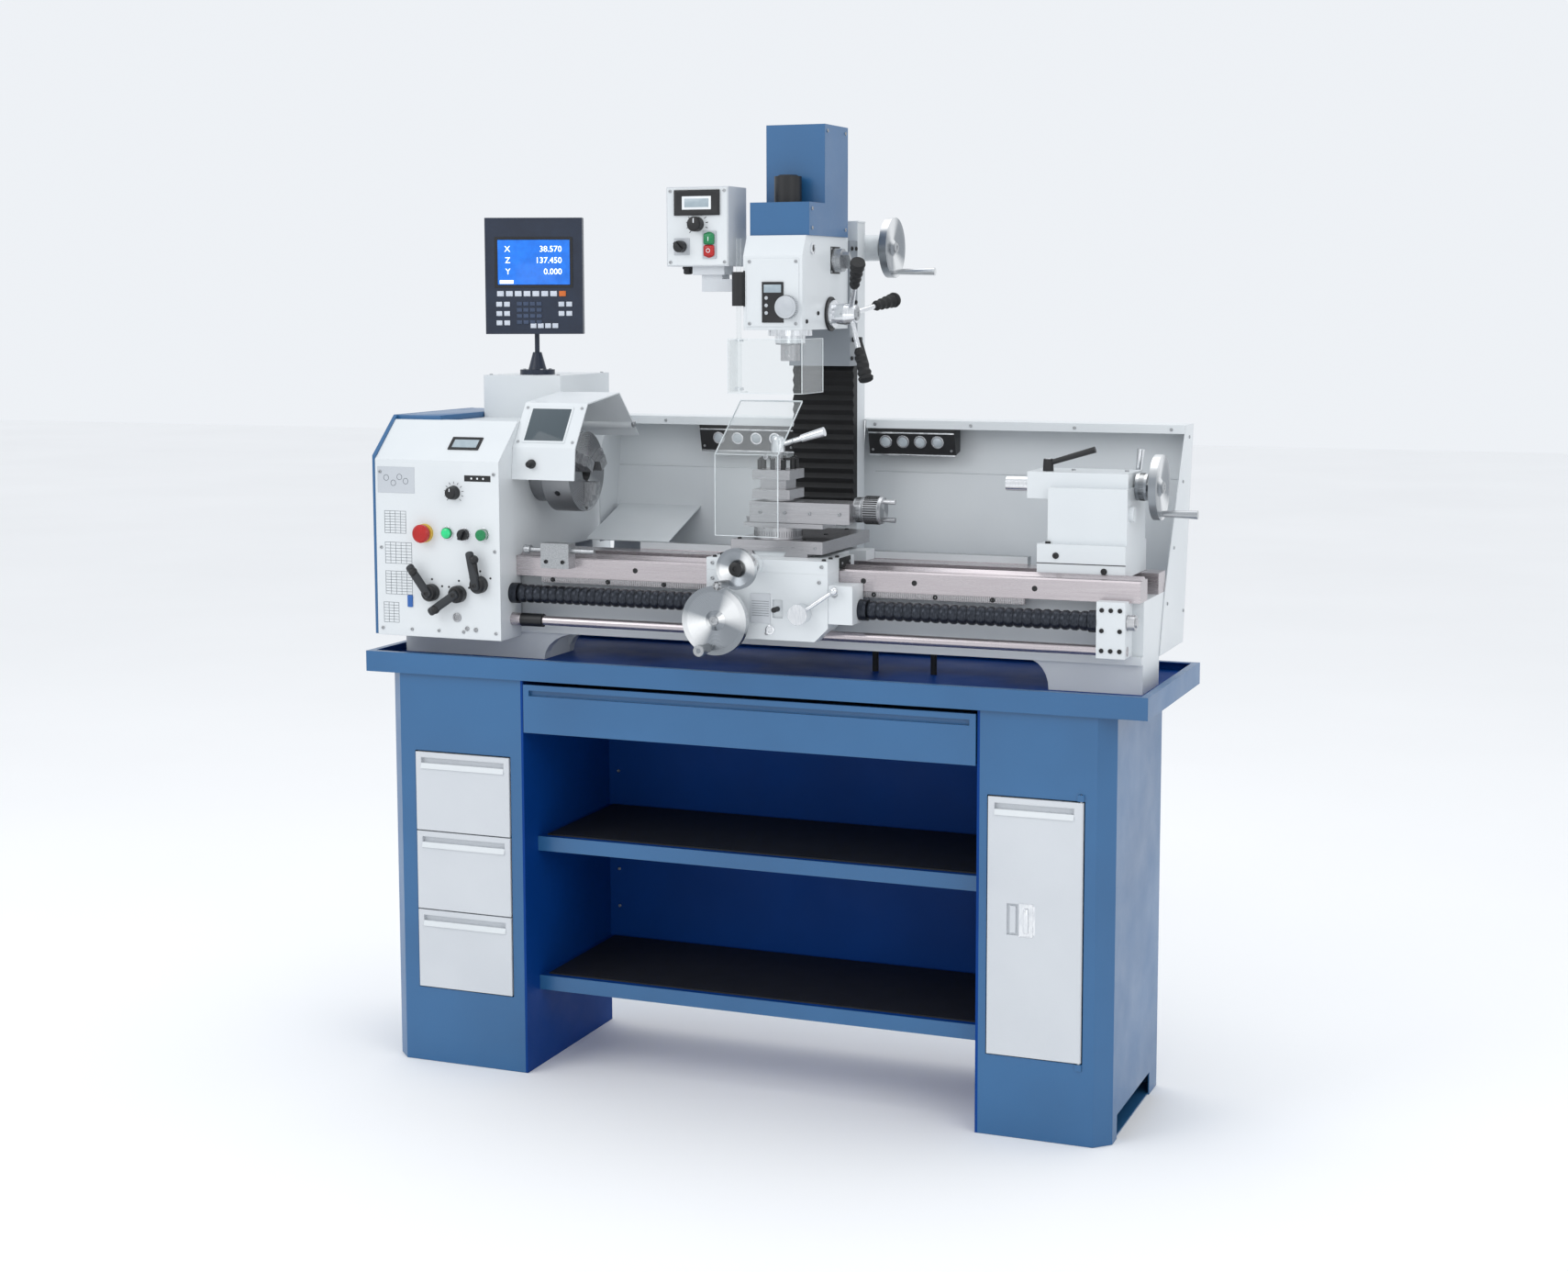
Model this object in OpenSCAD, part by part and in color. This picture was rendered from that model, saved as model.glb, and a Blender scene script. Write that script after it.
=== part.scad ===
// Combination lathe and mill on a cabinet stand.
// X runs along the bed towards the tailstock, the operator stands on the -Y side, Z is up from the floor.
// In the modules x = 0 is the middle of the chip tray and y = 0 its front edge; at() then centres the whole.

/* [Stand] */
// Length of the chip tray along the bed
tray_w = 1585; // [1570:5:1620]
// Depth of the chip tray, front to back
tray_d = 438; // [430:2:450]
// Height of the chip tray's rim above the floor
tray_top = 831; // [820:1:840]
// Height of the tray's outer skirt
tray_skirt = 41; // [36:1:50]
// How far the tray's floor lies below its rim
tray_sunk = 16; // [10:1:22]
// Width of the flat rim round the tray
tray_rim = 14; // [12:1:24]
// Thickness of the cabinet sheet metal
sheet = 2.5; // [2:0.5:3]
// How far the pedestals stand back from the tray's front edge
ped_back = 10; // [5:1:16]
// Depth of both pedestals
ped_d = 384; // [376:1:392]
// Width of the pedestal under the headstock
ped_left_w = 304; // [300:2:310]
// Width of the pedestal under the tailstock
ped_right_w = 252; // [248:2:260]
// Tray overhang beyond the left pedestal
ped_left_in = 41.5; // [36:0.5:48]
// Tray overhang beyond the right pedestal
ped_right_in = 62.5; // [56:0.5:68]
// Bevel on each pedestal's outer front corner
ped_bevel = 29; // [20:1:34]
// Width of the three small drawer fronts
small_drawer_w = 209; // [200:1:214]
// Height of one small drawer front
small_drawer_h = 158; // [150:1:162]
// Height of the lowest front edge above the floor
front_z = 154; // [140:1:165]
// Width of the cupboard door
door_w = 177; // [170:1:182]
// Height of the wide drawer's front
wide_drawer_h = 95; // [88:1:105]
// Gap round every drawer front and door
front_gap = 2.4; // [1.6:0.1:3]
// Top of the upper shelf above the floor
shelf_upper_z = 468; // [440:1:500]
// Top of the lower shelf above the floor
shelf_lower_z = 185; // [170:1:210]

/* [Bed] */
// Length of the lathe bed
bed_len = 1525; // [1515:5:1530]
// Distance from the tray's right end to the bed's right end
bed_right_in = 37.5; // [32:0.5:44]
// Height of the bed ways above the tray's floor
bed_h = 209; // [204:1:215]
// Front face of the front way, behind the tray's edge
bed_y = 90; // [88:1:92]
// Width over both ways
bed_w = 200; // [196:1:204]
// Height of the machined band along each way
way_h = 39; // [34:1:44]
// Height of the arch under the bed, above its feet
arch_h = 55; // [45:1:60]
// Drop from the ways to the leadscrew's axis
screw_drop = 72; // [70:1:74]
// Drop from the ways to the feed rod's axis
rod_drop = 124; // [122:1:126]
// Diameter of the leadscrew
screw_d = 22; // [18:1:24]
// Diameter of the feed rod
rod_d = 19; // [16:1:20]

/* [Headstock] */
// Height of the lathe centres above the ways
centre_h = 161; // [158:1:164]
// Length of the headstock casting
head_len = 177; // [172:1:182]
// Thickness of the hinged end cover over the change gears
end_cover_w = 100; // [94:1:106]
// Bore through the lathe spindle
spindle_bore = 38; // [30:1:40]
// Diameter of the three-jaw chuck
chuck_d = 160; // [152:2:164]
// Thickness of the chuck body
chuck_len = 60; // [54:1:64]

/* [Carriage] */
// Distance from the headstock to the middle of the carriage, as it rests
carriage_out = 559; // [550:1:565]
// Width of the apron and the saddle
apron_w = 244; // [238:2:250]
// Diameter of the carriage handwheel
carriage_wheel_d = 130; // [120:2:132]
// Diameter of the cross-slide handwheel
cross_wheel_d = 77; // [70:1:79]
// Width of the cross slide
cross_w = 156; // [150:2:160]
// Length of the cross slide
cross_len = 267; // [260:1:270]
// Diameter of the top slide's swivel
swivel_d = 92; // [86:2:98]
// Length of the top slide
top_len = 202; // [194:1:206]
// Side of the square tool post
post_side = 76; // [70:1:78]

/* [Tailstock] */
// Distance from the bed's end to the middle of the tailstock, as it rests
tail_in = 118; // [114:1:124]
// Length of the tailstock's base
tail_len = 165; // [158:1:168]
// Diameter of the tailstock quill
quill_d = 28; // [26:1:30]
// Diameter of the tailstock handwheel
tail_wheel_d = 120; // [110:2:124]

/* [Mill] */
// Distance from the bed's left end to the middle of the mill
mill_in = 811; // [808:1:814]
// Width of the mill column
column_w = 128; // [124:2:132]
// Height of the column's top above the ways
column_h = 654; // [648:1:664]
// Width of the mill head
mill_w = 120; // [116:1:122]
// Height of the mill head's underside above the ways
mill_up = 445; // [443:1:450]
// Height of the mill head's casting
mill_h = 177; // [174:1:182]
// Height of the motor cover above the head
motor_h = 211; // [200:1:220]
// Diameter of the wheel that raises the head
height_wheel_d = 120; // [110:2:122]
// Reach of the three quill feed arms
star_reach = 140; // [132:1:142]

/* [Hidden] */
$fn = 40;

// Running gap, shaft clearance and the overrun of every cut
fit = 0.3;
slip = 0.06;
over = 1;

blue = "#3f6ea3";
pale = "#d9dde0";
white = "#e6eaeb";
steel = "#a9adb3";
bright = "#c9ccd0";
dark = "#26282c";
green = "#2f8f55";
red = "#c42a2a";
clear = "#c3ced3";

// Stand
tray_x0 = -tray_w / 2;
tray_x1 = tray_w / 2;
tray_floor = tray_top - tray_sunk;
ped_top = tray_floor - sheet;
ped_y1 = ped_back + ped_d;
lp_x0 = tray_x0 + ped_left_in;
lp_x1 = lp_x0 + ped_left_w;
rp_x1 = tray_x1 - ped_right_in;
rp_x0 = rp_x1 - ped_right_w;
small_drawer_in = 63.5;
drawer_x0 = lp_x0 + small_drawer_in;
drawer_x1 = drawer_x0 + small_drawer_w;
drawer_pitch = small_drawer_h + front_gap;
stack_h = 3 * drawer_pitch - front_gap;
door_in = 22;
door_x0 = rp_x0 + door_in;
door_x1 = door_x0 + door_w;
front_t = 10;
front_proud = 3;
face_y = ped_back - front_proud;
drawer_d = 330;
box_in = 16;
box_up = 14;
box_down = 26;
box_t = 2;
runner_w = 14;
runner_h = 12;
grip_in = 12;
grip_h = 11;
hinge_r = 2.5;
lug_w = 12;
hinge_x = door_x1 - front_t / 2;
hinge_y = face_y + front_t / 2;
latch_w = 22;
latch_h = 58;
latch_z = 226;
latch_in = 48;
wide_drop = 31;
wide_z1 = ped_top - wide_drop;
wide_z0 = wide_z1 - wide_drawer_h;
shelf_back = 56;
shelf_y = ped_back + shelf_back;
shelf_lip = 29;
mat_t = 3;
mat_in = 14;
notch_h = 45;
notch_in = 62;
cupboard_shelf_z = 380;
box_x0 = drawer_x0 + box_in;
box_x1 = drawer_x1 - box_in;
wide_x0 = lp_x1 + runner_w + fit;
wide_x1 = rp_x0 - runner_w - fit;

// Bed
bed_x1 = tray_x1 - bed_right_in;
bed_x0 = bed_x1 - bed_len;
bed_top = tray_floor + bed_h;
way_y1 = bed_y + bed_w;
web_in = 29;
web_t = 22;
web_y = bed_y + web_in;
foot_in = 42;
foot_y1 = way_y1 - foot_in;
way_w = 55;
arch_z = tray_floor + arch_h;
foot_left = 315;
foot_right = 175;
arch_left_r = 80;
arch_right_r = 41;
flange_t = 16;
flange_out = 12;
vee_in = 18;
vee_w = 22;
vee_h = 7;
edge = 3;
rib_n = 6;
rib_w = 40;
rack_in = 325;
rack_short = 215;
rack_t = 12;
rail_in = 448;
rail_short = 265;
rail_t = 22;
rail_h = 46;
rail_up = 14;
bracket_w = 53;
bracket_in = 71;
bracket_up = 38;
bracket_down = 12;
bracket_out = 18;
bracket_x = bed_x1 - bracket_in;
stop_in = 340;
stop_w = 61;
stop_t = 30;
stop_h = 49;
stop_up = 30;
stop_rod = 110;
stop_screw = 5;
cable_r = 6;
cable_in = 85;
cable_y = way_y1 - cable_in;
cable_shares = [0.645, 0.722];
cable_up = 90;

// Screws in front of the bed
screw_out = 18;
screw_y = bed_y - screw_out;
screw_z = bed_top - screw_drop;
feed_rod_z = bed_top - rod_drop;
journal_r = screw_d / 2 - edge;
cap_r = 14;
socket = 60;
coupling_r = 13;
coupling_w = 68;
sleeve_r = 15;
sleeve_rib = 3;
sleeve_n = 24;
sleeve_end_r = 20;
sleeve_end = 16;

// Headstock
head_in = 271;
head_right = bed_x0 + head_in;
cover_x = head_right - head_len;
head_left = cover_x - end_cover_w;
spindle_z = bed_top + centre_h;
spindle_back = 115;
spindle_y = bed_y + spindle_back;
panel_out = 68;
panel_y = bed_y - panel_out;
panel_t = 3;
head_drop = 162;
head_z0 = bed_top - head_drop;
slant_up = 28;
slant_z = spindle_z + slant_up;
head_up = 103;
head_top = spindle_z + head_up;
slant_in = 83;
slant_y = panel_y + slant_in;
top_strip = 20;
head_back = 140;
head_y1 = way_y1 + head_back;
cabinet_d = 86;
cabinet_y1 = head_y1 + cabinet_d;
cabinet_up = 84;
cabinet_top = head_top + cabinet_up;
cabinet_in = 38;
cabinet_z0 = head_z0 + cabinet_in;
cover_t = 2;
knuckle_r = 5;
knuckle_y = head_y1 + knuckle_r + fit;
neck_y = way_y1 + head_back / 2;
neck_x = (cover_x + head_right) / 2;
foot_r = 36;
foot_h = 10;
cone_r0 = 19;
cone_r1 = 9;
cone_h = 36;
neck_r = 5;
neck_h = 38;
display_w = 200;
display_h = 237;
display_t = 34;
display_yaw = 21;
display_z = cabinet_top + foot_h + cone_h + neck_h;
bracket_r = 9;
neck_in = 30;
spindle_r = 32;
flange_r = 62;
collar_r = 45;
collar_w = 18;
spindle_tail = 24;
chuck_out = 99;
chuck_x1 = head_right + chuck_out;
chuck_x0 = chuck_x1 - chuck_len;
jaw_in = 20;
jaw_len = 50;
jaw_out = 24;
jaw_w = 22;
jaw_step = 12;
tongue_w = 11;
tongue_h = 9;
key_r = 6;
key_deep = 14;

// Panel places: from the right face as a share of the panel's length, and up as a share of its height
panel_len = head_right - head_left;
panel_h = slant_z - head_z0;
stop_shares = [0.6, 0.59];
knob_shares = [0.361, 0.823];
start_shares = [0.13, 0.593];
lamp_shares = [0.419, 0.595];
selector_shares = [0.282, 0.59];
lever_shares = [[0.55, 0.256], [0.332, 0.254], [0.159, 0.313]];
lever_angles = [35, 126, 1];
stem_r = 5;
stem = 16;
push = 5;
stop_r = 18;
stop_len = 22;
button_r = 11;
button_h = 11;
knob_r = 14;
knob_h = 18;
hub_r = 17;
hub_h = 20;
arm_len = 52;
tip_r = 9;

// Chuck guard: its end outline about the spindle's axis, as shares of the chuck's diameter
guard_shares = [[-0.82, -0.056], [-0.78, 0.34], [-0.42, 0.87], [0.48, 0.97], [1.06, 0.4]];
guard_pin_shares = [0.9, 0.55];
guard_w = 137;
guard_t = 3;
guard_pin_r = 5;
guard_hub_r = 9;
guard_frame = 14;
function guard_point(i, wall) = [spindle_y, spindle_z]
    + guard_shares[i] * (chuck_d - wall / norm(guard_shares[i]));
guard_pin = [spindle_y, spindle_z] + guard_pin_shares * chuck_d;

// Splash guard: its end outline as shares of its depth and height
splash_shares = [[0, 0], [0.147, 0.288], [0.72, 0.96], [0.72, 1], [1, 1], [0.751, 0]];
splash_gap = 34;
splash_x0 = head_right + splash_gap;
splash_t = 2;
splash_x1 = bed_x1 + fit + splash_t;
splash_len = splash_x1 - splash_x0;
splash_in = 45;
splash_y0 = way_y1 - splash_in;
splash_d = 265;
splash_up = 54;
splash_z0 = tray_floor + splash_up;
splash_h = 417;
wing_in = 105;
wing_y = way_y1 + wing_in;
notch_gap = 6;
tab_w = 60;
tab_t = 5;
tab_shares = [0.12, 0.79];
lamp_left_w = 208;
lamp_right_w = 181;
lamp_left_gap = 24;
lamp_right_gap = 9.4;
lamp_h = 62;
lamp_d = 42;
lamp_lip = 14;
slide_w = 185;
slide_in = 10;
slide_up = 60;

// Carriage
carriage_x = head_right + carriage_out;
apron_x0 = carriage_x - apron_w / 2;
apron_x1 = carriage_x + apron_w / 2;
apron_gap = 2;
apron_y1 = bed_y - apron_gap;
apron_t = 60;
apron_y = apron_y1 - apron_t;
apron_h = 127;
apron_drop = 4;
apron_z1 = bed_top - apron_drop;
apron_z0 = apron_z1 - apron_h;
apron_bevel = 26;
saddle_h = 29;
saddle_gap = 3;
saddle_top = bed_top + saddle_h;
saddle_y1 = way_y1 - saddle_gap;
waist_w = 35;
waist_in = 52;
dove_w = 70;
dove_in = 6;
dove_h = 9;
cross_off = 18;
cross_x = carriage_x - cross_off;
wheel_dx = 88;
wheel_x = carriage_x - wheel_dx;
wheel_drop = 94;
wheel_z = bed_top - wheel_drop;
wheel_out = 32;
wheel_t = 14;
shaft_r = 8;
dial_r = 22;
grip_r = 8;
grip_len = 52;
cross_screw_up = 10;
cross_screw_in = 9;
cross_screw_x = cross_x - cross_screw_in;
cross_screw_z = bed_top + cross_screw_up;
cross_wheel_out = 74;
cross_wheel_y = apron_y - cross_wheel_out;
cross_wheel_t = 12;
boss_r = 20;
boss_out = 16;
feed_dx = 71;
feed_x = carriage_x + feed_dx;
feed_drop = 78;
feed_z = bed_top - feed_drop;
feed_r = 19;
feed_out = 26;
feed_arm = 82;
feed_arm_r = 5;
feed_tilt = 34;
box_w = 48;
box_h = 72;
box_front = 2;
box_drop = 96;
plate_dx = 32;
plate_w = 40;
plate_h = 56;
plate_t = 1.5;
thread_dx = 32;
thread_w = 40;
thread_h = 34;

// Cross slide and top slide
cross_in = 5;
cross_y0 = bed_y - cross_in;
cross_t = 21;
cross_top = saddle_top + cross_t;
scale_w = 30;
scale_h = 24;
scale_short = 5;
swivel_back = 43;
swivel_y = bed_y + swivel_back;
swivel_t = 23;
pin_r = 14;
pin_h = 8;
base_len = 161;
base_off = 23;
base_w = 70;
base_t = 9;
base_z = cross_top + swivel_t;
tdove_w = 44;
tdove_in = 6;
tdove_h = 10;
top_back = 44;
top_x0 = cross_x - top_back;
top_x1 = top_x0 + top_len;
top_w = 76;
top_gap = 1;
top_z0 = base_z + base_t + top_gap;
top_t = 39;
top_z1 = top_z0 + top_t;
drum_drop = 13;
drum_z = top_z1 - drum_drop;
drum_r = 26;
drum_len = 55;
drum_grip = 26;
drum_grip_r = 5;
drum_arm = 18;
spacer_r = 30;
spacer_h = 5;
plate_up = 18;
core_h = 19;
core_in = 12;
post_z0 = top_z1 + spacer_h;
post_z1 = post_z0 + plate_up;
post_z2 = post_z1 + core_h;
post_z3 = post_z2 + plate_up;
bolt_r = 4.5;
bolt_h = 19;
bolt_in = 9;
stud_r = 9;
stud_h = 54;
ring_up = 22;
ring_h = 8;
ring_r = 19;
lever_up = 32;
lever_z = post_z3 + lever_up;
lever_hub_r = 14;
lever_hub_h = 24;
lever_arm = 98;
lever_tilt = 17;
lever_r = 5;
lever_grip = 48;
lever_grip_r = 9;
shield_t = 3;
shield_w = 128;
shield_off = 105;
shield_out = 61;
shield_y = swivel_y - shield_out;
shield_gap = 7;
shield_low = 155;
shield_back = 128;
shield_rise = 97;
shield_arm_w = 16;

// Tailstock
tail_x = bed_x1 - tail_in;
tail_x0 = tail_x - tail_len / 2;
tail_x1 = tail_x + tail_len / 2;
tail_y_in = 32;
tail_y0 = bed_y + tail_y_in;
tail_back = 6;
tail_y1 = way_y1 - tail_back;
tail_base_h = 59;
tail_step = 10;
tail_neck_in = 17;
barrel_len = 189;
barrel_in = 3.5;
barrel_x1 = tail_x1 - barrel_in;
barrel_x0 = barrel_x1 - barrel_len;
barrel_half = 55;
barrel_drop = 22;
barrel_up = 27;
barrel_top = spindle_z + barrel_up;
quill_out = 54;
quill_len = 150;
taper_r0 = 9;
taper_r1 = 7;
taper_len = 70;
tail_dial_r = 25;
tail_dial = 25;
tail_wheel_t = 14;
tail_wheel_gap = 12;
tail_grip = 66;
lock_in = 33;
lock_x = barrel_x0 + lock_in;
lock_back = 30;
lock_y = spindle_y - lock_back;
lock_r = 10;
lock_h = 22;
lock_arm = 92;
lock_tilt = 17;
lock_arm_r = 6;
clamp_in = 24.5;
clamp_x = tail_x1 - clamp_in;
clamp_drop = 53;
clamp_z = spindle_z - clamp_drop;
clamp_hub_r = 13;
clamp_arm = 118;
clamp_r = 7;
clamp_lean = 6;

// Mill
mill_x = bed_x0 + mill_in;
column_x0 = mill_x - column_w / 2;
column_x1 = mill_x + column_w / 2;
column_back = 110;
column_y = way_y1 + column_back;
column_t = 42;
column_top = bed_top + column_h;
back_w = 76;
back_d = 74;
column_y1 = column_y + column_t + back_d;
column_drop = 119;
column_z0 = bed_top - column_drop;
column_wall = 12;
vdove_w = 60;
vdove_in = 7;
vdove_h = 10;
height_in = 38;
height_y = column_y + column_t + height_in;
height_drop = 50;
height_z = column_top - height_drop;
height_out = 101;
height_x = mill_x + height_out;
height_t = 15;
height_hub = 14;
height_grip = 82;
gearbox_r = 26;
slide_up0 = 371;
slide_z0 = bed_top + slide_up0;
slide_h = 245;
slide_z1 = slide_z0 + slide_h;
slide_d = 44;
slide_y0 = column_y - slide_d;
handle_in = 17;
handle_up = 52;
bellows_up = 60;
bellows_z0 = bed_top + bellows_up;
bellows_d = 26;
fold_d = 7;
fold_n = 16;
mill_x0 = mill_x - mill_w / 2;
mill_x1 = mill_x + mill_w / 2;
mill_out = 20;
mill_y0 = bed_y + mill_out;
mill_y1 = slide_y0 - fit;
mill_z0 = bed_top + mill_up;
mill_z1 = mill_z0 + mill_h;
break_h = 38;
break_in = 19;
mspindle_in = 90;
mspindle_y = mill_y0 + mspindle_in;
tilt_up = 61;
tilt_z = mill_z0 + tilt_up;
tilt_r = 15;
tilt_in = 12;
low_h = 62;
low_in = 25;
motor_back = 11;
motor_y1 = mill_y1 - motor_back;
tall_back = 108;
tall_y0 = mill_y0 + tall_back;
cover_out = 4;
motor_cap_r = 26;
motor_cap_h = 50;
mquill_r = 30;
mquill_out = 14;
mquill_up = 120;
mspindle_r = 14;
mspindle_out = 34;
collet_r0 = 8;
collet_r1 = 6;
nose_r = 43;
nose_h = 12;
star_back = 148;
star_y = mill_y0 + star_back;
star_up = 29;
star_z = mill_z0 + star_up;
star_hub_r = 21;
star_hub = 54;
star_ring_r = 27;
star_ring = 10;
star_cone = 20;
star_arm_r = 5;
star_grip = 66;
star_grip_r = 15;
star_turn = 42;
star_n = 3;
range_back = 175;
range_y = mill_y0 + range_back;
range_drop = 45;
range_z = mill_z1 - range_drop;
range_r = 23;
range_out = 34;
wing_t = 8;
fine_dx = 31;
fine_up = 43;
fine_x = mill_x + fine_dx;
fine_z = mill_z0 + fine_up;
fine_r = 22;
fine_out = 14;
readout_dx = 21;
readout_w = 43;
readout_up = 15;
readout_h = 74;
guard_rod_dx = 70;
guard_rod_x = mill_x - guard_rod_dx;
guard_rod_in = 2;
guard_rod_y = mill_y0 + guard_rod_in;
guard_rod_r = 5;
guard_rod_up = 171;
clasp_r = 13;
clasp_up = 45;
clasp_h = 64;
pane_t = 3;
pane_left = 82;
pane_right = 69;
pane_out = 26;
pane_back = 85;
pane_drop = 119;
pane_h = 103;
pane_y0 = mill_y0 - pane_out;
pane_z0 = mill_z0 - pane_drop;
pane_z1 = pane_z0 + pane_h;
cbox_w = 128;
cbox_d = 88;
cbox_h = 150;
cbox_gap = 34;
cbox_x1 = mill_x0 - cbox_gap;
cbox_x0 = cbox_x1 - cbox_w;
cbox_in = 10;
cbox_y0 = mill_y0 + cbox_in;
cbox_up = 120;
cbox_z0 = mill_z0 + cbox_up;
cbox_z1 = cbox_z0 + cbox_h;
elbow_in = 64;
elbow_w = 42;
elbow_d = 36;
elbow_y = cbox_y0 + hub_h;
elbow_drop = 48;
elbow_h = 24;
shelf_h = 16;
screen_w = 92;
screen_h = 44;
screen_t = 4;

// The whole part's middle, from its outermost points
most_right = barrel_x1 + tail_dial + tail_wheel_gap + tail_wheel_t + tail_grip;
most_front = cross_wheel_y - cross_wheel_t - grip_len;
most_back = height_y + height_wheel_d / 2;
module at() translate([-(most_right + tray_x0) / 2, -(most_front + most_back) / 2, 0]) children();

// A block between two corners, and round bars along each axis
module bar(x0, x1, y0, y1, z0, z1) translate([x0, y0, z0]) cube([x1 - x0, y1 - y0, z1 - z0]);
module rod_x(x0, x1, y, z, r) translate([x0, y, z]) rotate([0, 90, 0]) cylinder(h = x1 - x0, r = r);
module rod_y(x, y0, y1, z, r) translate([x, y1, z]) rotate([90, 0, 0]) cylinder(h = y1 - y0, r = r);
module rod_z(x, y, z0, z1, r) translate([x, y, z0]) cylinder(h = z1 - z0, r = r);

// Outlines drawn out along x (points in y and z) or along y (points in x and z)
module along_x(points, x0, x1)
    translate([x0, 0, 0]) rotate([90, 0, 90]) linear_extrude(x1 - x0) polygon(points);
module along_y(points, y0, y1)
    translate([0, y1, 0]) rotate([90, 0, 0]) linear_extrude(y1 - y0) polygon(points);

// Turned bodies from [distance, radius] steps, along x or towards the operator
function lathe_points(steps) = concat([[0, steps[0][0]]], [for (s = steps) [s[1], s[0]]],
    [[0, steps[len(steps) - 1][0]]]);
module turned_x(x, y, z, steps)
    translate([x, y, z]) rotate([0, 90, 0]) rotate_extrude() polygon(lathe_points(steps));
module turned_y(x, y, z, steps)
    translate([x, y, z]) rotate([90, 0, 0]) rotate_extrude() polygon(lathe_points(steps));

// Dovetail outline with its wide side up, grown by a gap and run down past its foot
function dovetail(w, slant, h, gap = 0, foot = 0) =
    [[slant - w / 2 - gap, -foot], [w / 2 - slant + gap, -foot], [w / 2 + gap, h + gap], [-w / 2 - gap, h + gap]];

function small_z(i) = front_z + i * drawer_pitch;

// Pedestal outline, its bevel on the side s: -1 left, 1 right
module pedestal_outline(x0, x1, s, wall) {
    side = s > 0 ? x1 - wall : x0 + wall;
    other = s > 0 ? x0 + wall : x1 - wall;
    bevel = ped_bevel - wall / 2;
    polygon([[other, ped_back + wall], [side - s * bevel, ped_back + wall], [side, ped_back + wall + bevel],
        [side, ped_y1 - wall], [other, ped_y1 - wall]]);
}

// Sheet pedestal with an opening behind its fronts and a runner for the wide drawer
module pedestal(x0, x1, s, open_x0, open_x1) {
    difference() {
        linear_extrude(ped_top) pedestal_outline(x0, x1, s, 0);
        translate([0, 0, sheet]) linear_extrude(ped_top - 2 * sheet) pedestal_outline(x0, x1, s, sheet);
        bar(open_x0 - front_gap, open_x1 + front_gap, ped_back - over, ped_back + sheet + over,
            front_z - front_gap, front_z + stack_h + front_gap);
    }
    rail = s > 0 ? x0 - runner_w : x1;
    bar(rail, rail + runner_w, face_y + front_t + over, ped_y1 - sheet - fit,
        wide_z0 + box_up - runner_h - fit, wide_z0 + box_up - fit);
}

module left_pedestal() color(blue) {
    pedestal(lp_x0, lp_x1, -1, drawer_x0, drawer_x1);
    for (i = [0:2], x = [[lp_x0 + sheet / 2, box_x0 + runner_h], [box_x1 - runner_h, lp_x1 - sheet / 2]])
        bar(x[0], x[1], ped_back + ped_bevel, ped_y1 - sheet / 2, small_z(i) + box_up - fit - runner_h,
            small_z(i) + box_up - fit);
}

module right_pedestal() color(blue) difference() {
    union() {
        pedestal(rp_x0, rp_x1, 1, door_x0, door_x1);
        bar(rp_x0 + sheet / 2, rp_x1 - sheet / 2, ped_back + ped_bevel, ped_y1 - sheet / 2, cupboard_shelf_z,
            cupboard_shelf_z + sheet);
        for (z = [front_z - front_gap - lug_w, front_z + stack_h + front_gap])
            bar(hinge_x - lug_w / 2, hinge_x + lug_w / 2, face_y, face_y + front_t, z, z + lug_w);
    }
    bar(rp_x1 - sheet - over, rp_x1 + over, ped_back + notch_in, ped_y1 - notch_in, -over, notch_h);
    rod_z(hinge_x, hinge_y, front_z - front_gap - lug_w - over, front_z + stack_h + front_gap + lug_w + over,
        hinge_r + slip);
}

// Tray with its sunk floor, and the two hoses that rise from it behind the bed's front wall
module chip_tray() {
    color(blue) difference() {
        bar(tray_x0, tray_x1, 0, tray_d, tray_top - tray_skirt, tray_top);
        bar(tray_x0 + sheet, tray_x1 - sheet, sheet, tray_d - sheet, tray_top - tray_skirt - over, ped_top);
        bar(tray_x0 + sheet, tray_x1 - sheet, sheet, tray_d - sheet, tray_floor, tray_top - sheet);
        bar(tray_x0 + tray_rim, tray_x1 - tray_rim, tray_rim, tray_d - tray_rim, tray_floor, tray_top + over);
    }
    color(dark) for (s = cable_shares)
        rod_z(bed_x0 + s * bed_len, cable_y, tray_floor - sheet / 2, tray_floor + cable_up, cable_r);
}

module shelf(z) difference() {
    bar(lp_x1, rp_x0, shelf_y, ped_y1, z - shelf_lip, z);
    bar(lp_x1 - over, rp_x0 + over, shelf_y + sheet, ped_y1 + over, z - shelf_lip - over, z - sheet);
}

// Two shelves between the pedestals, the panel behind them and their rubber mats
module shelf_unit() {
    color(blue) {
        shelf(shelf_upper_z);
        shelf(shelf_lower_z);
        bar(lp_x1, rp_x0, ped_y1 - sheet, ped_y1, shelf_lower_z - shelf_lip, ped_top);
    }
    color(dark) for (z = [shelf_upper_z, shelf_lower_z])
        bar(lp_x1 + mat_in, rp_x0 - mat_in, shelf_y + mat_in, ped_y1 - mat_in, z, z + mat_t);
}

// A front with its pull channel below the top edge
module pull_front(x0, x1, z0, z1) difference() {
    bar(x0, x1, face_y, face_y + front_t, z0, z1);
    bar(x0 + grip_in, x1 - grip_in, face_y - over, face_y + front_t - box_t, z1 - 2 * grip_h, z1 - grip_h);
}

// An open box behind a front
module drawer_box(x0, x1, z0, z1) difference() {
    bar(x0, x1, face_y + front_t - over, face_y + drawer_d, z0, z1);
    bar(x0 + box_t, x1 - box_t, face_y + front_t, face_y + drawer_d - box_t, z0 + box_t, z1 + over);
}

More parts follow.
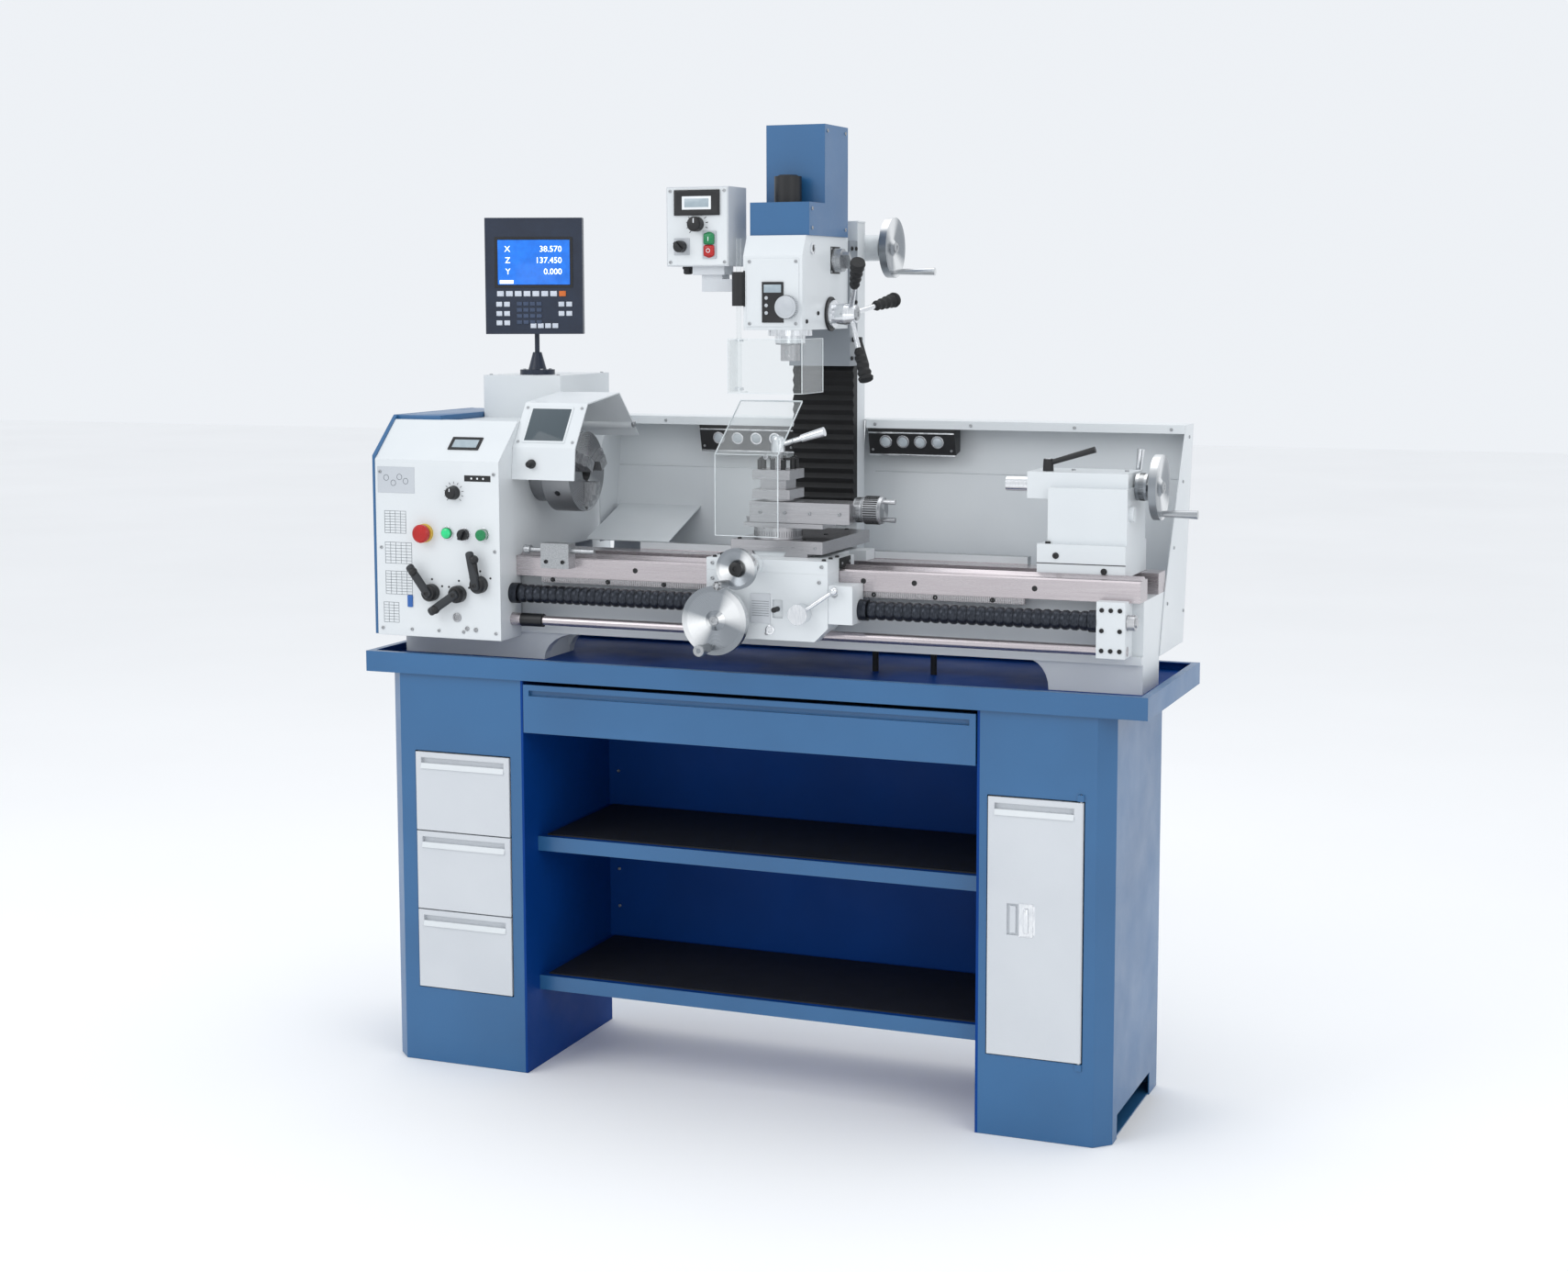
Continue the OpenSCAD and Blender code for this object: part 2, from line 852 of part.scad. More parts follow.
module wide_drawer() color(blue) {
    pull_front(lp_x1 + front_gap, rp_x0 - front_gap, wide_z0, wide_z1);
    drawer_box(wide_x0, wide_x1, wide_z0 + box_up, wide_z1 - box_up * 2);
    bar(lp_x1 + front_gap, rp_x0 - front_gap, face_y + front_t - over, face_y + drawer_d, wide_z0 + box_up,
        wide_z0 + box_up + box_t);
}

module small_drawer(i) color(pale) {
    pull_front(drawer_x0, drawer_x1, small_z(i), small_z(i) + small_drawer_h);
    drawer_box(box_x0, box_x1, small_z(i) + box_up, small_z(i) + small_drawer_h - box_down);
}
module small_drawer_1() small_drawer(0);
module small_drawer_2() small_drawer(1);
module small_drawer_3() small_drawer(2);

module cabinet_door() {
    z1 = front_z + stack_h;
    x = door_x0 + latch_in;
    color(pale) difference() {
        union() {
            pull_front(door_x0, hinge_x, front_z, z1);
            rod_z(hinge_x, hinge_y, front_z, z1, front_t / 2);
            rod_z(hinge_x, hinge_y, front_z - front_gap - lug_w, z1 + front_gap + lug_w, hinge_r);
        }
        bar(x - latch_w / 2, x + latch_w / 2, face_y - over, face_y + 2 * box_t, front_z + latch_z,
            front_z + latch_z + latch_h);
    }
    color(bright) bar(x - latch_w / 4, x + latch_w / 4, face_y, face_y + 3 * box_t,
        front_z + latch_z + 2 * box_t, front_z + latch_z + latch_h - 2 * box_t);
}

// Rear face of the bed's back wall at a height, where it leans between foot and way
function bed_back(z) = foot_y1 + foot_in * (z - arch_z) / (bed_top - way_h - arch_z);

// Bed: front wall with its V-way, rear wall, cross ribs and feet, cut by the long arch
module lathe_bed() {
    arch = concat([[bed_x0 + foot_left, tray_floor - over]],
        [for (a = [0:15:90]) [bed_x0 + foot_left + arch_left_r * (1 - cos(a)), tray_floor + arch_h * sin(a)]],
        [for (a = [90:-15:0]) [bed_x1 - foot_right - arch_right_r * (1 - cos(a)), tray_floor + arch_h * sin(a)]],
        [[bed_x1 - foot_right, tray_floor - over]]);
    color(white) difference() {
        union() {
            along_x([[web_y, tray_floor], [web_y, arch_z], [web_y - flange_out, arch_z],
                [web_y - flange_out, arch_z + flange_t], [web_y, arch_z + flange_t],
                [web_y, bed_top - way_h], [bed_y, bed_top - way_h], [bed_y, bed_top - edge],
                [bed_y + edge, bed_top], [bed_y + vee_in, bed_top],
                [bed_y + vee_in + vee_w / 2, bed_top + vee_h], [bed_y + vee_in + vee_w, bed_top],
                [bed_y + way_w, bed_top], [bed_y + way_w, bed_top - way_h], [web_y + web_t, bed_top - way_h],
                [web_y + web_t, tray_floor]], bed_x0, bed_x1);
            along_x([[foot_y1, tray_floor], [foot_y1, arch_z], [way_y1, bed_top - way_h],
                [way_y1, bed_top], [way_y1 - way_w, bed_top], [way_y1 - way_w, bed_top - way_h],
                [foot_y1 - web_t, arch_z], [foot_y1 - web_t, tray_floor]], bed_x0, bed_x1);
            for (i = [0:rib_n]) translate([bed_x0 + i * (bed_len - rib_w) / rib_n, 0, 0])
                bar(0, rib_w, web_y + web_t / 2, foot_y1 - web_t / 2, tray_floor, bed_top - way_h);
            for (x = [[bed_x0, foot_left], [bed_x1 - foot_right, foot_right]])
                bar(x[0], x[0] + x[1], web_y + web_t / 2, foot_y1 - web_t / 2, tray_floor, arch_z + flange_t);
        }
        along_y(arch, web_y - flange_out - over, way_y1 + over);
        bar(bed_x0 - over, cover_x, bed_y - over, way_y1 + over, head_z0 - fit,
            bed_top + vee_h + over);
    }
    color(steel) bar(bed_x0 + rack_in, bed_x1 - rack_short, bed_y + edge, bed_y + edge + rack_t,
        bed_top - way_h - rack_t, bed_top - way_h + over);
    color(bright) bar(bed_x0 + rail_in, bed_x1 - rail_short, way_y1 - over, way_y1 + rail_t,
        bed_top + rail_up - rail_h, bed_top + rail_up);
    color(white) difference() {
        union() {
            bar(bracket_x, bracket_x + bracket_w, screw_y - bracket_out, web_y - flange_out,
                feed_rod_z - bracket_down, screw_z + bracket_up);
            bar(bracket_x + edge, bracket_x + bracket_w - edge, web_y - flange_out - over, web_y + over,
                arch_z + flange_t, bed_top - way_h + over);
        }
        rod_x(bracket_x - over, bracket_x + bracket_w + over, screw_y, screw_z, journal_r + slip);
        rod_x(bracket_x - over, bracket_x + bracket_w + over, screw_y, feed_rod_z, rod_d / 2 + slip);
    }
    x = bed_x0 + stop_in;
    z = bed_top + stop_up - stop_h;
    color(steel) {
        bar(x, x + stop_w, bed_y - stop_t, bed_y, z, z + stop_h);
        rod_x(x - stop_t, x + stop_rod, bed_y - stop_t / 2, z + stop_h * 0.7, stop_screw);
    }
}

function panel_place(s) = [head_right - s[0] * panel_len, head_z0 + s[1] * panel_h];

// Bores for every stem that turns or slides in the panel
module panel_bores(y0, y1) for (s = concat([stop_shares, knob_shares, start_shares], lever_shares))
    rod_y(panel_place(s)[0], y0, y1, panel_place(s)[1], stem_r + slip);

// Headstock casting, the switch cabinet behind it, the foot of the display and the guard's pin
module headstock() {
    y0 = panel_y + panel_t;
    z1 = head_top - panel_t;
    color(white) {
        difference() {
            union() {
                along_x([[y0, head_z0], [y0, slant_z], [slant_y, z1], [head_y1, z1], [head_y1, bed_top],
                    [bed_y + vee_in + vee_w, bed_top], [bed_y + vee_in + vee_w / 2, bed_top + vee_h],
                    [bed_y + vee_in, bed_top], [bed_y - fit, bed_top], [bed_y - fit, bed_top - way_h - fit],
                    [web_y - flange_out - fit, bed_top - way_h - fit], [web_y - flange_out - fit, head_z0]],
                    cover_x, head_right);
                bar(cover_x, head_right, head_y1 - over, cabinet_y1, cabinet_z0, cabinet_top);
                bar(cover_x, head_right, way_y1, cabinet_y1, z1 - over, cabinet_top);
            }
            bar(cover_x - over, cover_x + 2 * knuckle_r, head_y1, knuckle_y + 2 * knuckle_r,
                cabinet_z0 + lug_w, z1);
            rod_x(cover_x - over, head_right + over, spindle_y, spindle_z, spindle_r + slip);
            rod_x(head_right - collar_w, head_right + over, spindle_y, spindle_z, collar_r + slip);
            panel_bores(y0 - over, y0 + stem + push + over);
            rod_x(head_right - socket, head_right + over, screw_y, screw_z, screw_d / 2 + slip);
            rod_x(head_right - socket, head_right + over, screw_y, feed_rod_z, rod_d / 2 + slip);
        }
        rod_z(cover_x, knuckle_y, cabinet_z0, z1 + over, hinge_r);
    }
    color("#4a5060") translate([neck_x, neck_y, cabinet_top]) {
        cylinder(h = foot_h, r = foot_r);
        cylinder(h = foot_h + cone_h + neck_h + neck_in, r = neck_r);
        translate([0, 0, foot_h]) cylinder(h = cone_h, r1 = cone_r0, r2 = cone_r1);
    }
    color(bright) rod_x(head_right - over, head_right + guard_w - guard_t, guard_pin[0], guard_pin[1],
        guard_pin_r);
}

// Bent sheet panel over headstock and end cover, with the lit lamp and the selector
module control_panel() {
    lamp = panel_place(lamp_shares);
    selector = panel_place(selector_shares);
    color(white) difference() {
        along_x([[panel_y, head_z0], [panel_y, slant_z], [slant_y - panel_t / 2, head_top],
            [slant_y + top_strip, head_top], [slant_y + top_strip, head_top - panel_t],
            [slant_y, head_top - panel_t], [panel_y + panel_t, slant_z], [panel_y + panel_t, head_z0]],
            head_left, head_right);
        panel_bores(panel_y - over, panel_y + panel_t + over);
    }
    color(green) rod_y(lamp[0], panel_y - button_h / 2, panel_y + over, lamp[1], button_r);
    color(dark) rod_y(selector[0], panel_y - button_h, panel_y + over, selector[1], button_r);
}

// Hollow cover over the change gears, open towards the headstock, on a hinge at the back
module end_cover() color(blue) {
    y0 = panel_y + panel_t + fit;
    z1 = head_top - panel_t - fit;
    z0 = cabinet_z0 + lug_w + fit;
    x1 = cover_x - fit;
    t = cover_t;
    difference() {
        along_x([[y0, head_z0], [y0, slant_z], [slant_y, z1], [head_y1, z1], [head_y1, head_z0]],
            head_left, x1);
        along_x([[y0 + t, head_z0 + t], [y0 + t, slant_z], [slant_y + t, z1 - t], [head_y1 - t, z1 - t],
            [head_y1 - t, head_z0 + t]], head_left + t, x1 + over);
    }
    difference() {
        union() {
            bar(x1 - 2 * knuckle_r, cover_x, head_y1 - t, knuckle_y, z0, z1 - t);
            rod_z(cover_x, knuckle_y, z0, z1 - t, knuckle_r);
        }
        bar(x1, cover_x + over, head_y1 - t - over, head_y1 + fit, z0 - over, z1);
        rod_z(cover_x, knuckle_y, z0 - over, z1, hinge_r + slip);
    }
}

// Spindle, its nose flange and the chuck body, bored right through
module lathe_spindle() color(steel) difference() {
    union() {
        rod_x(cover_x - spindle_tail, chuck_x0, spindle_y, spindle_z, spindle_r);
        rod_x(head_right - collar_w + fit, head_right + over, spindle_y, spindle_z, collar_r);
        rod_x(head_right + fit, chuck_x0 + over, spindle_y, spindle_z, flange_r);
        rod_x(chuck_x0, chuck_x1, spindle_y, spindle_z, chuck_d / 2);
    }
    rod_x(cover_x - spindle_tail - over, chuck_x1 + over, spindle_y, spindle_z, spindle_bore / 2);
    for (a = [0:120:240]) translate([chuck_x1, spindle_y, spindle_z]) rotate([a, 0, 0]) {
        bar(-tongue_h - fit, over, -tongue_w / 2 - fit, tongue_w / 2 + fit, -chuck_d, 0);
        translate([-chuck_len / 2, 0, chuck_d / 2 - key_deep]) cylinder(h = key_deep + over, r = key_r);
    }
}

// One stepped jaw, turned to its place about the spindle's axis
module chuck_jaw(turn) color(bright) translate([chuck_x1, spindle_y, spindle_z]) rotate([turn, 0, 0]) {
    bar(-tongue_h, over, -tongue_w / 2, tongue_w / 2, -jaw_in - jaw_len, -jaw_in - jaw_step);
    for (i = [0:2]) bar(fit, fit + (i + 1) * jaw_out / 3, -jaw_w / 2, jaw_w / 2,
        i * jaw_step - jaw_in - jaw_len, -jaw_in);
}
module chuck_jaw_1() chuck_jaw(0);
module chuck_jaw_2() chuck_jaw(120);
module chuck_jaw_3() chuck_jaw(240);

// Chuck guard: a bent hood that swings on the pin beside the headstock
module chuck_guard() color(white) difference() {
    x0 = head_right + fit;
    x1 = head_right + guard_w;
    union() {
        along_x([for (i = [0:4]) guard_point(i, 0), for (i = [4:-1:0]) guard_point(i, guard_t)], x0, x1);
        rod_x(x0, x1 - guard_t, guard_pin[0], guard_pin[1], guard_hub_r);
    }
    rod_x(x0 - over, x1 + over, guard_pin[0], guard_pin[1], guard_pin_r + slip);
}

function splash_at(s) = [splash_y0 + s[0] * splash_d, splash_z0 + s[1] * splash_h];
function splash_back(z) = splash_at(splash_shares[5])[0]
    + (z - splash_z0) / splash_h * (splash_shares[4][0] - splash_shares[5][0]) * splash_d;

// Splash guard: slanted back wall, top flange, end panels, tabs to the bed, lamps and a chip slide
module splash_guard() {
    outline = [for (s = splash_shares) splash_at(s)];
    z1 = splash_z0 + splash_h;
    lip = outline[3];
    color(white) difference() {
        union() {
            along_x([outline[5], outline[4], lip, outline[2], outline[2] + [splash_t, 0],
                lip + [splash_t, -splash_t], outline[4] - [2 * splash_t, splash_t],
                outline[5] - [2 * splash_t, 0]], splash_x0, splash_x1);
            along_x(outline, splash_x1 - splash_t, splash_x1);
            along_x([[wing_y, bed_top], [wing_y, slant_z], outline[2],
                [splash_back(outline[2][1]), outline[2][1]], [splash_back(bed_top), bed_top]],
                splash_x0, splash_x0 + splash_t);
            for (s = tab_shares) translate([splash_x0 + s * splash_len, 0, 0])
                bar(0, tab_w, way_y1, splash_back(bed_top - way_h) - splash_t, bed_top - way_h,
                    bed_top - way_h + tab_t);
        }
        bar(mill_x - back_w / 2 - notch_gap, mill_x + back_w / 2 + notch_gap, column_y,
            splash_back(z1) + over, column_z0 - notch_gap, z1 + over);
        bar(column_x0 - notch_gap, column_x1 + notch_gap, way_y1 - over, column_y + column_t + notch_gap,
            column_z0 - notch_gap, z1 + over);
    }
    color(dark) for (p = [[column_x0 - lamp_left_gap - lamp_left_w, lamp_left_w],
        [column_x1 + lamp_right_gap, lamp_right_w]]) translate([p[0], lip[0], z1])
        along_x([[splash_t, -splash_t / 2], [lamp_d, -splash_t / 2], [lamp_d, -lamp_h],
            [lamp_lip, -lamp_h - lamp_lip / 2], [splash_t, -lamp_h / 3]], 0, p[1]);
    y0 = way_y1 + rail_t + fit;
    z0 = bed_top + rail_up;
    y1 = splash_back(z0 + slide_up) - 1.5 * splash_t;
    color(white) along_x([[y0, z0 - splash_t], [y0, z0], [y1, z0 + slide_up], [y1, z0 + slide_up - splash_t]],
        splash_x0 + slide_in, splash_x0 + slide_in + slide_w);
}

// A push button: its stem slides in the panel, its head stands clear of it by the travel
module push_button(s, r, h, tint) color(tint) {
    c = panel_place(s);
    rod_y(c[0], panel_y - push - over - h / 2, panel_y + panel_t + stem, c[1], stem_r);
    turned_y(c[0], panel_y - push - over, c[1], [[0, r * 0.7], [h * 0.3, r], [h * 0.6, r], [h * 0.75, r * 0.8]]);
}
module emergency_stop() push_button(stop_shares, stop_r, stop_len, red);
module start_button() push_button(start_shares, button_r, button_h, green);

module speed_knob() color(dark) {
    c = panel_place(knob_shares);
    rod_y(c[0], panel_y - knob_h / 2, panel_y + panel_t + stem, c[1], stem_r);
    turned_y(c[0], panel_y - fit, c[1], [[0, knob_r], [knob_h * 0.8, knob_r * 0.86], [knob_h, knob_r * 0.7]]);
}

// A gear lever: hub, tapered arm and round tip
module gear_lever(i) color(dark) {
    c = panel_place(lever_shares[i]);
    rod_y(c[0], panel_y - hub_h / 2, panel_y + panel_t + stem, c[1], stem_r);
    turned_y(c[0], panel_y - fit, c[1], [[0, hub_r], [hub_h * 0.7, hub_r], [hub_h, hub_r * 0.8]]);
    translate([c[0], panel_y - hub_h * 0.7, c[1]]) rotate([10, -lever_angles[i], 0]) {
        cylinder(h = arm_len, r1 = stem_r * 1.3, r2 = stem_r);
        translate([0, 0, arm_len]) sphere(r = tip_r);
    }
}
module gear_lever_1() gear_lever(0);
module gear_lever_2() gear_lever(1);
module gear_lever_3() gear_lever(2);

// Display with its recessed screen, on a socket that turns on the neck
module display_unit() translate([neck_x, neck_y, display_z]) rotate([0, 0, display_yaw]) color("#2c3f5c")
    difference() {
        union() {
            bar(-display_w / 2, display_w / 2, -bracket_r - display_t, -bracket_r, 0, display_h);
            bar(-bracket_r, bracket_r, -bracket_r - over, bracket_r, 0, neck_in * 1.5);
        }
        translate([0, 0, -over]) cylinder(h = neck_in + over + fit, r = neck_r + slip);
        bar(-display_w * 0.38, display_w * 0.38, -bracket_r - display_t - over, -bracket_r - display_t + box_t,
            display_h * 0.42, display_h * 0.82);
    }

// Leadscrew with its journal and end nut, feed rod with its coupling
module leadscrew() color(steel) {
    rod_x(head_right - socket + fit, bracket_x - fit, screw_y, screw_z, screw_d / 2);
    rod_x(bracket_x - over, bed_x1, screw_y, screw_z, journal_r);
    rod_x(bracket_x + bracket_w + fit, bed_x1 - edge, screw_y, screw_z, cap_r);
}
module feed_rod() {
    color(steel) rod_x(head_right - socket + fit, bracket_x + bracket_w, screw_y, feed_rod_z, rod_d / 2);
    color(dark) rod_x(head_right + fit, head_right + coupling_w, screw_y, feed_rod_z, coupling_r);
}

// Spiral cover round the leadscrew: a ribbed sleeve with its bore
module ribbed_sleeve(x0, x1) color(dark) {
    pitch = (x1 - x0 - 2 * sleeve_end) / sleeve_n;
    bore = screw_d / 2 + fit;
    translate([x0, screw_y, screw_z]) rotate([0, 90, 0]) rotate_extrude() polygon(concat(
        [[bore, 0], [sleeve_end_r, 0], [sleeve_end_r, sleeve_end]],
        [for (i = [0:sleeve_n - 1]) each [[sleeve_r, sleeve_end + i * pitch],
            [sleeve_r + sleeve_rib, sleeve_end + (i + 0.3) * pitch],
            [sleeve_r + sleeve_rib, sleeve_end + (i + 0.7) * pitch]]],
        [[sleeve_r, x1 - x0 - sleeve_end], [sleeve_end_r, x1 - x0 - sleeve_end], [sleeve_end_r, x1 - x0],
            [bore, x1 - x0]]));
}
module screw_cover_left() ribbed_sleeve(head_right + fit, apron_x0 - fit);
module screw_cover_right() ribbed_sleeve(apron_x1 + box_w + fit, bracket_x - fit);

// Clearance for the bed's V-way under a sliding piece
module vee_cut(x0, x1) {
    y0 = bed_y + vee_in - 2 * fit;
    y1 = bed_y + vee_in + vee_w + 2 * fit;
    along_x([[y0, bed_top - over], [y0, bed_top + fit], [(y0 + y1) / 2, bed_top + vee_h + 2 * fit],
        [y1, bed_top + fit], [y1, bed_top - over]], x0, x1);
}

// Saddle: H-shaped slide on the ways with the cross slide's dovetail on top
module carriage_saddle() color(white) difference() {
    union() {
        bar(apron_x0, apron_x1, apron_y, saddle_y1, bed_top + fit, saddle_top - dove_h);
        bar(apron_x0, apron_x1, apron_y, apron_y1, apron_z1, bed_top + over);
        translate([cross_x, 0, saddle_top - dove_h]) along_y(dovetail(dove_w, dove_in, dove_h),
            bed_y, saddle_y1);
        rod_y(cross_screw_x, apron_y - boss_out, apron_y, cross_screw_z, boss_r);
    }
    vee_cut(apron_x0 - over, apron_x1 + over);
    for (x = [apron_x0 - over, apron_x1 - waist_w]) bar(x, x + waist_w + over, bed_y + way_w + waist_in / 2,
        way_y1 - waist_in, bed_top, saddle_top + over);
    rod_y(cross_screw_x, apron_y - boss_out - over, apron_y + 2 * stem, cross_screw_z, shaft_r + slip);
}

// Apron with the bores for screw and rod, the dial box at its right and the thread lever
module apron() {
    thread_x = carriage_x + thread_dx;
    color(white) difference() {
        union() {
            along_y([[apron_x0, apron_z1], [apron_x0, apron_z0], [apron_x1 - apron_bevel, apron_z0],
                [apron_x1, apron_z0 + apron_bevel], [apron_x1, apron_z1]], apron_y, apron_y1);
            bar(apron_x1 - over, apron_x1 + box_w, apron_y + box_front, apron_y1, bed_top - box_drop,
                bed_top - box_drop + box_h);
        }
        rod_x(apron_x0 - over, apron_x1 + box_w + over, screw_y, screw_z, screw_d / 2 + fit);
        rod_x(apron_x0 - over, apron_x1 + over, screw_y, feed_rod_z, rod_d / 2 + fit);
        rod_y(wheel_x, apron_y - over, apron_y + stem + over, wheel_z, shaft_r + slip);
        rod_y(feed_x, apron_y - over, apron_y + stem + over, feed_z, shaft_r + slip);
        bar(thread_x - thread_w / 2, thread_x, apron_y - over, apron_y + box_t * 2,
            screw_z - thread_h / 2, screw_z + thread_h / 2);
    }
    color(bright) bar(carriage_x - plate_dx, carriage_x - plate_dx + plate_w, apron_y - plate_t, apron_y + over,
        screw_z - plate_h / 2, screw_z + plate_h / 2);
    color(bright) rod_y(thread_x - thread_w / 4, apron_y - hub_h, apron_y + box_t * 3, screw_z, stem_r);
}

// A dished handwheel facing the operator, its grip at the angle given from the top
module wheel_front(x, y, z, r, t, shaft_y, angle, grip) color(bright) {
    rod_y(x, y - t / 2, shaft_y, z, shaft_r);
    turned_y(x, y, z, [[-t * 0.4, r * 0.3], [-t * 0.2, r * 0.3], [0, r * 0.8], [0, r], [t, r],
        [t, r * 0.84], [t * 0.5, r * 0.3], [t, r * 0.16]]);
    translate([x + r * 0.78 * sin(angle), y - t * 0.6, z + r * 0.78 * cos(angle)]) rotate([90, 0, 0])
        cylinder(h = grip + t * 0.4, r1 = grip_r * 0.7, r2 = grip_r);
}
module carriage_handwheel() {
    y = apron_y - wheel_out;
    wheel_front(wheel_x, y, wheel_z, carriage_wheel_d / 2, wheel_t, apron_y + stem, 190, grip_len);
    color(bright) rod_y(wheel_x, y, apron_y - fit, wheel_z, dial_r);
}
module cross_handwheel() {
    wheel_front(cross_screw_x, cross_wheel_y, cross_screw_z, cross_wheel_d / 2, cross_wheel_t,
        apron_y + stem, 210, grip_len);
    color(bright) rod_y(cross_screw_x, cross_wheel_y, apron_y - boss_out - fit, cross_screw_z, boss_r * 0.9);
}

// Feed lever: round boss with an arm that rises to the right
module feed_lever() color(bright) {
    rod_y(feed_x, apron_y - feed_out / 2, apron_y + stem, feed_z, shaft_r);
    rod_y(feed_x, apron_y - feed_out, apron_y - fit, feed_z, feed_r);
    translate([feed_x, apron_y - feed_out / 2, feed_z]) rotate([0, 90 - feed_tilt, 0]) {
        cylinder(h = feed_arm, r1 = feed_arm_r, r2 = feed_arm_r * 0.8);
        translate([0, 0, feed_arm]) sphere(r = feed_arm_r * 1.6);
    }
}

// Cross slide over the saddle's dovetail, with the scale's cover along its right side
module cross_slide() {
    x1 = cross_x + cross_w / 2;
    color(steel) difference() {
        bar(cross_x - cross_w / 2, x1, cross_y0, cross_y0 + cross_len, saddle_top - dove_h + fit, cross_top);
        translate([cross_x, 0, saddle_top - dove_h]) along_y(dovetail(dove_w, dove_in, dove_h, fit, over),
            cross_y0 - over, cross_y0 + cross_len + over);
        rod_z(cross_x, swivel_y, cross_top - pin_h - fit, cross_top + over, pin_r + slip);
    }
    color(bright) bar(x1, x1 + scale_w, cross_y0, cross_y0 + cross_len - scale_short, cross_top - scale_h,
        cross_top);
}

// Swivel disc with the block that carries the top slide's dovetail
module swivel_base() color(steel) {
    x0 = cross_x + base_off - base_len / 2;
    rod_z(cross_x, swivel_y, cross_top - pin_h, cross_top + over, pin_r);
    rod_z(cross_x, swivel_y, cross_top + fit, base_z, swivel_d / 2);
    bar(x0, x0 + base_len, swivel_y - base_w / 2, swivel_y + base_w / 2, base_z, base_z + base_t);
    translate([0, swivel_y, base_z + base_t]) along_x(dovetail(tdove_w, tdove_in, tdove_h), x0, x0 + base_len);
}

// Top slide with the stud that carries tool post, lever and shield
module top_slide() color(steel) {
    difference() {
        bar(top_x0, top_x1, swivel_y - top_w / 2, swivel_y + top_w / 2, top_z0, top_z1);
        translate([0, swivel_y, base_z + base_t]) along_x(dovetail(tdove_w, tdove_in, tdove_h, fit, over),
            top_x0 - over, top_x1 + over);
        rod_x(top_x1 - stem, top_x1 + over, swivel_y, drum_z, shaft_r + slip);
    }
    rod_z(cross_x, swivel_y, top_z1 - over, post_z3 + stud_h, stud_r);
}

module top_slide_handwheel() color(bright) {
    rod_x(top_x1 - stem + fit, top_x1 + drum_len / 2, swivel_y, drum_z, shaft_r);
    turned_x(top_x1 + fit, swivel_y, drum_z, [[0, drum_r * 0.9], [drum_len * 0.3, drum_r * 0.9],
        [drum_len * 0.34, drum_r], [drum_len * 0.9, drum_r], [drum_len, drum_r * 0.94]]);
    for (a = [200, 340]) translate([top_x1 + drum_len - over, swivel_y + drum_arm * sin(a),
        drum_z + drum_arm * cos(a)]) rotate([0, 90, 0])
        cylinder(h = drum_grip, r1 = drum_grip_r * 0.8, r2 = drum_grip_r);
}

// Four-way tool post, its bore on the stud
module tool_post() {
    h = post_side / 2;
    c = h - core_in;
    color(steel) difference() {
        union() {
            rod_z(cross_x, swivel_y, top_z1 + fit, post_z0 + over, spacer_r);
            for (z = [post_z0, post_z2]) bar(cross_x - h, cross_x + h, swivel_y - h, swivel_y + h, z, z + plate_up);
            bar(cross_x - c, cross_x + c, swivel_y - c, swivel_y + c, post_z1 - over, post_z2 + over);
        }
        rod_z(cross_x, swivel_y, top_z1, post_z3 + over, stud_r + slip);
    }
    color(dark) for (a = [0:90:270]) translate([cross_x, swivel_y, 0]) rotate([0, 0, a]) for (i = [0, 1])
        rod_z(i * (c - bolt_r), -h + bolt_in, post_z3 - over, post_z3 + bolt_h, bolt_r);
}

module tool_post_lever() color(bright) translate([cross_x, swivel_y, lever_z]) difference() {
    union() {
        cylinder(h = lever_hub_h, r1 = lever_hub_r, r2 = lever_hub_r * 0.9);
        translate([0, 0, lever_hub_h / 2]) rotate([0, 90 - lever_tilt, 0]) {
            cylinder(h = lever_arm, r = lever_r);
            translate([0, 0, lever_arm - lever_grip]) cylinder(h = lever_grip, r1 = lever_grip_r * 0.8,
                r2 = lever_grip_r);
        }
    }
    translate([0, 0, -over]) cylinder(h = lever_hub_h + 2 * over, r = stud_r + slip);
}

// Bent clear shield on a collar round the stud
module chip_shield() color(clear) {
    x0 = cross_x - shield_off;
    z0 = cross_top + shield_gap;
    z1 = z0 + shield_low;
    y1 = shield_y + shield_back;
    rz = post_z3 + ring_up;
    t = shield_t;
    along_x([[shield_y, z0], [shield_y, z1], [y1, z1 + shield_rise], [y1 + t, z1 + shield_rise - t],
        [shield_y + t, z1 - t], [shield_y + t, z0]], x0, x0 + shield_w);
    difference() {
        union() {
            bar(cross_x - shield_arm_w / 2, cross_x + shield_arm_w / 2, shield_y + t / 2, swivel_y,
                rz, rz + ring_h);
            rod_z(cross_x, swivel_y, rz, rz + ring_h, ring_r);
        }
        rod_z(cross_x, swivel_y, rz - over, rz + ring_h + over, stud_r + slip);
    }
}

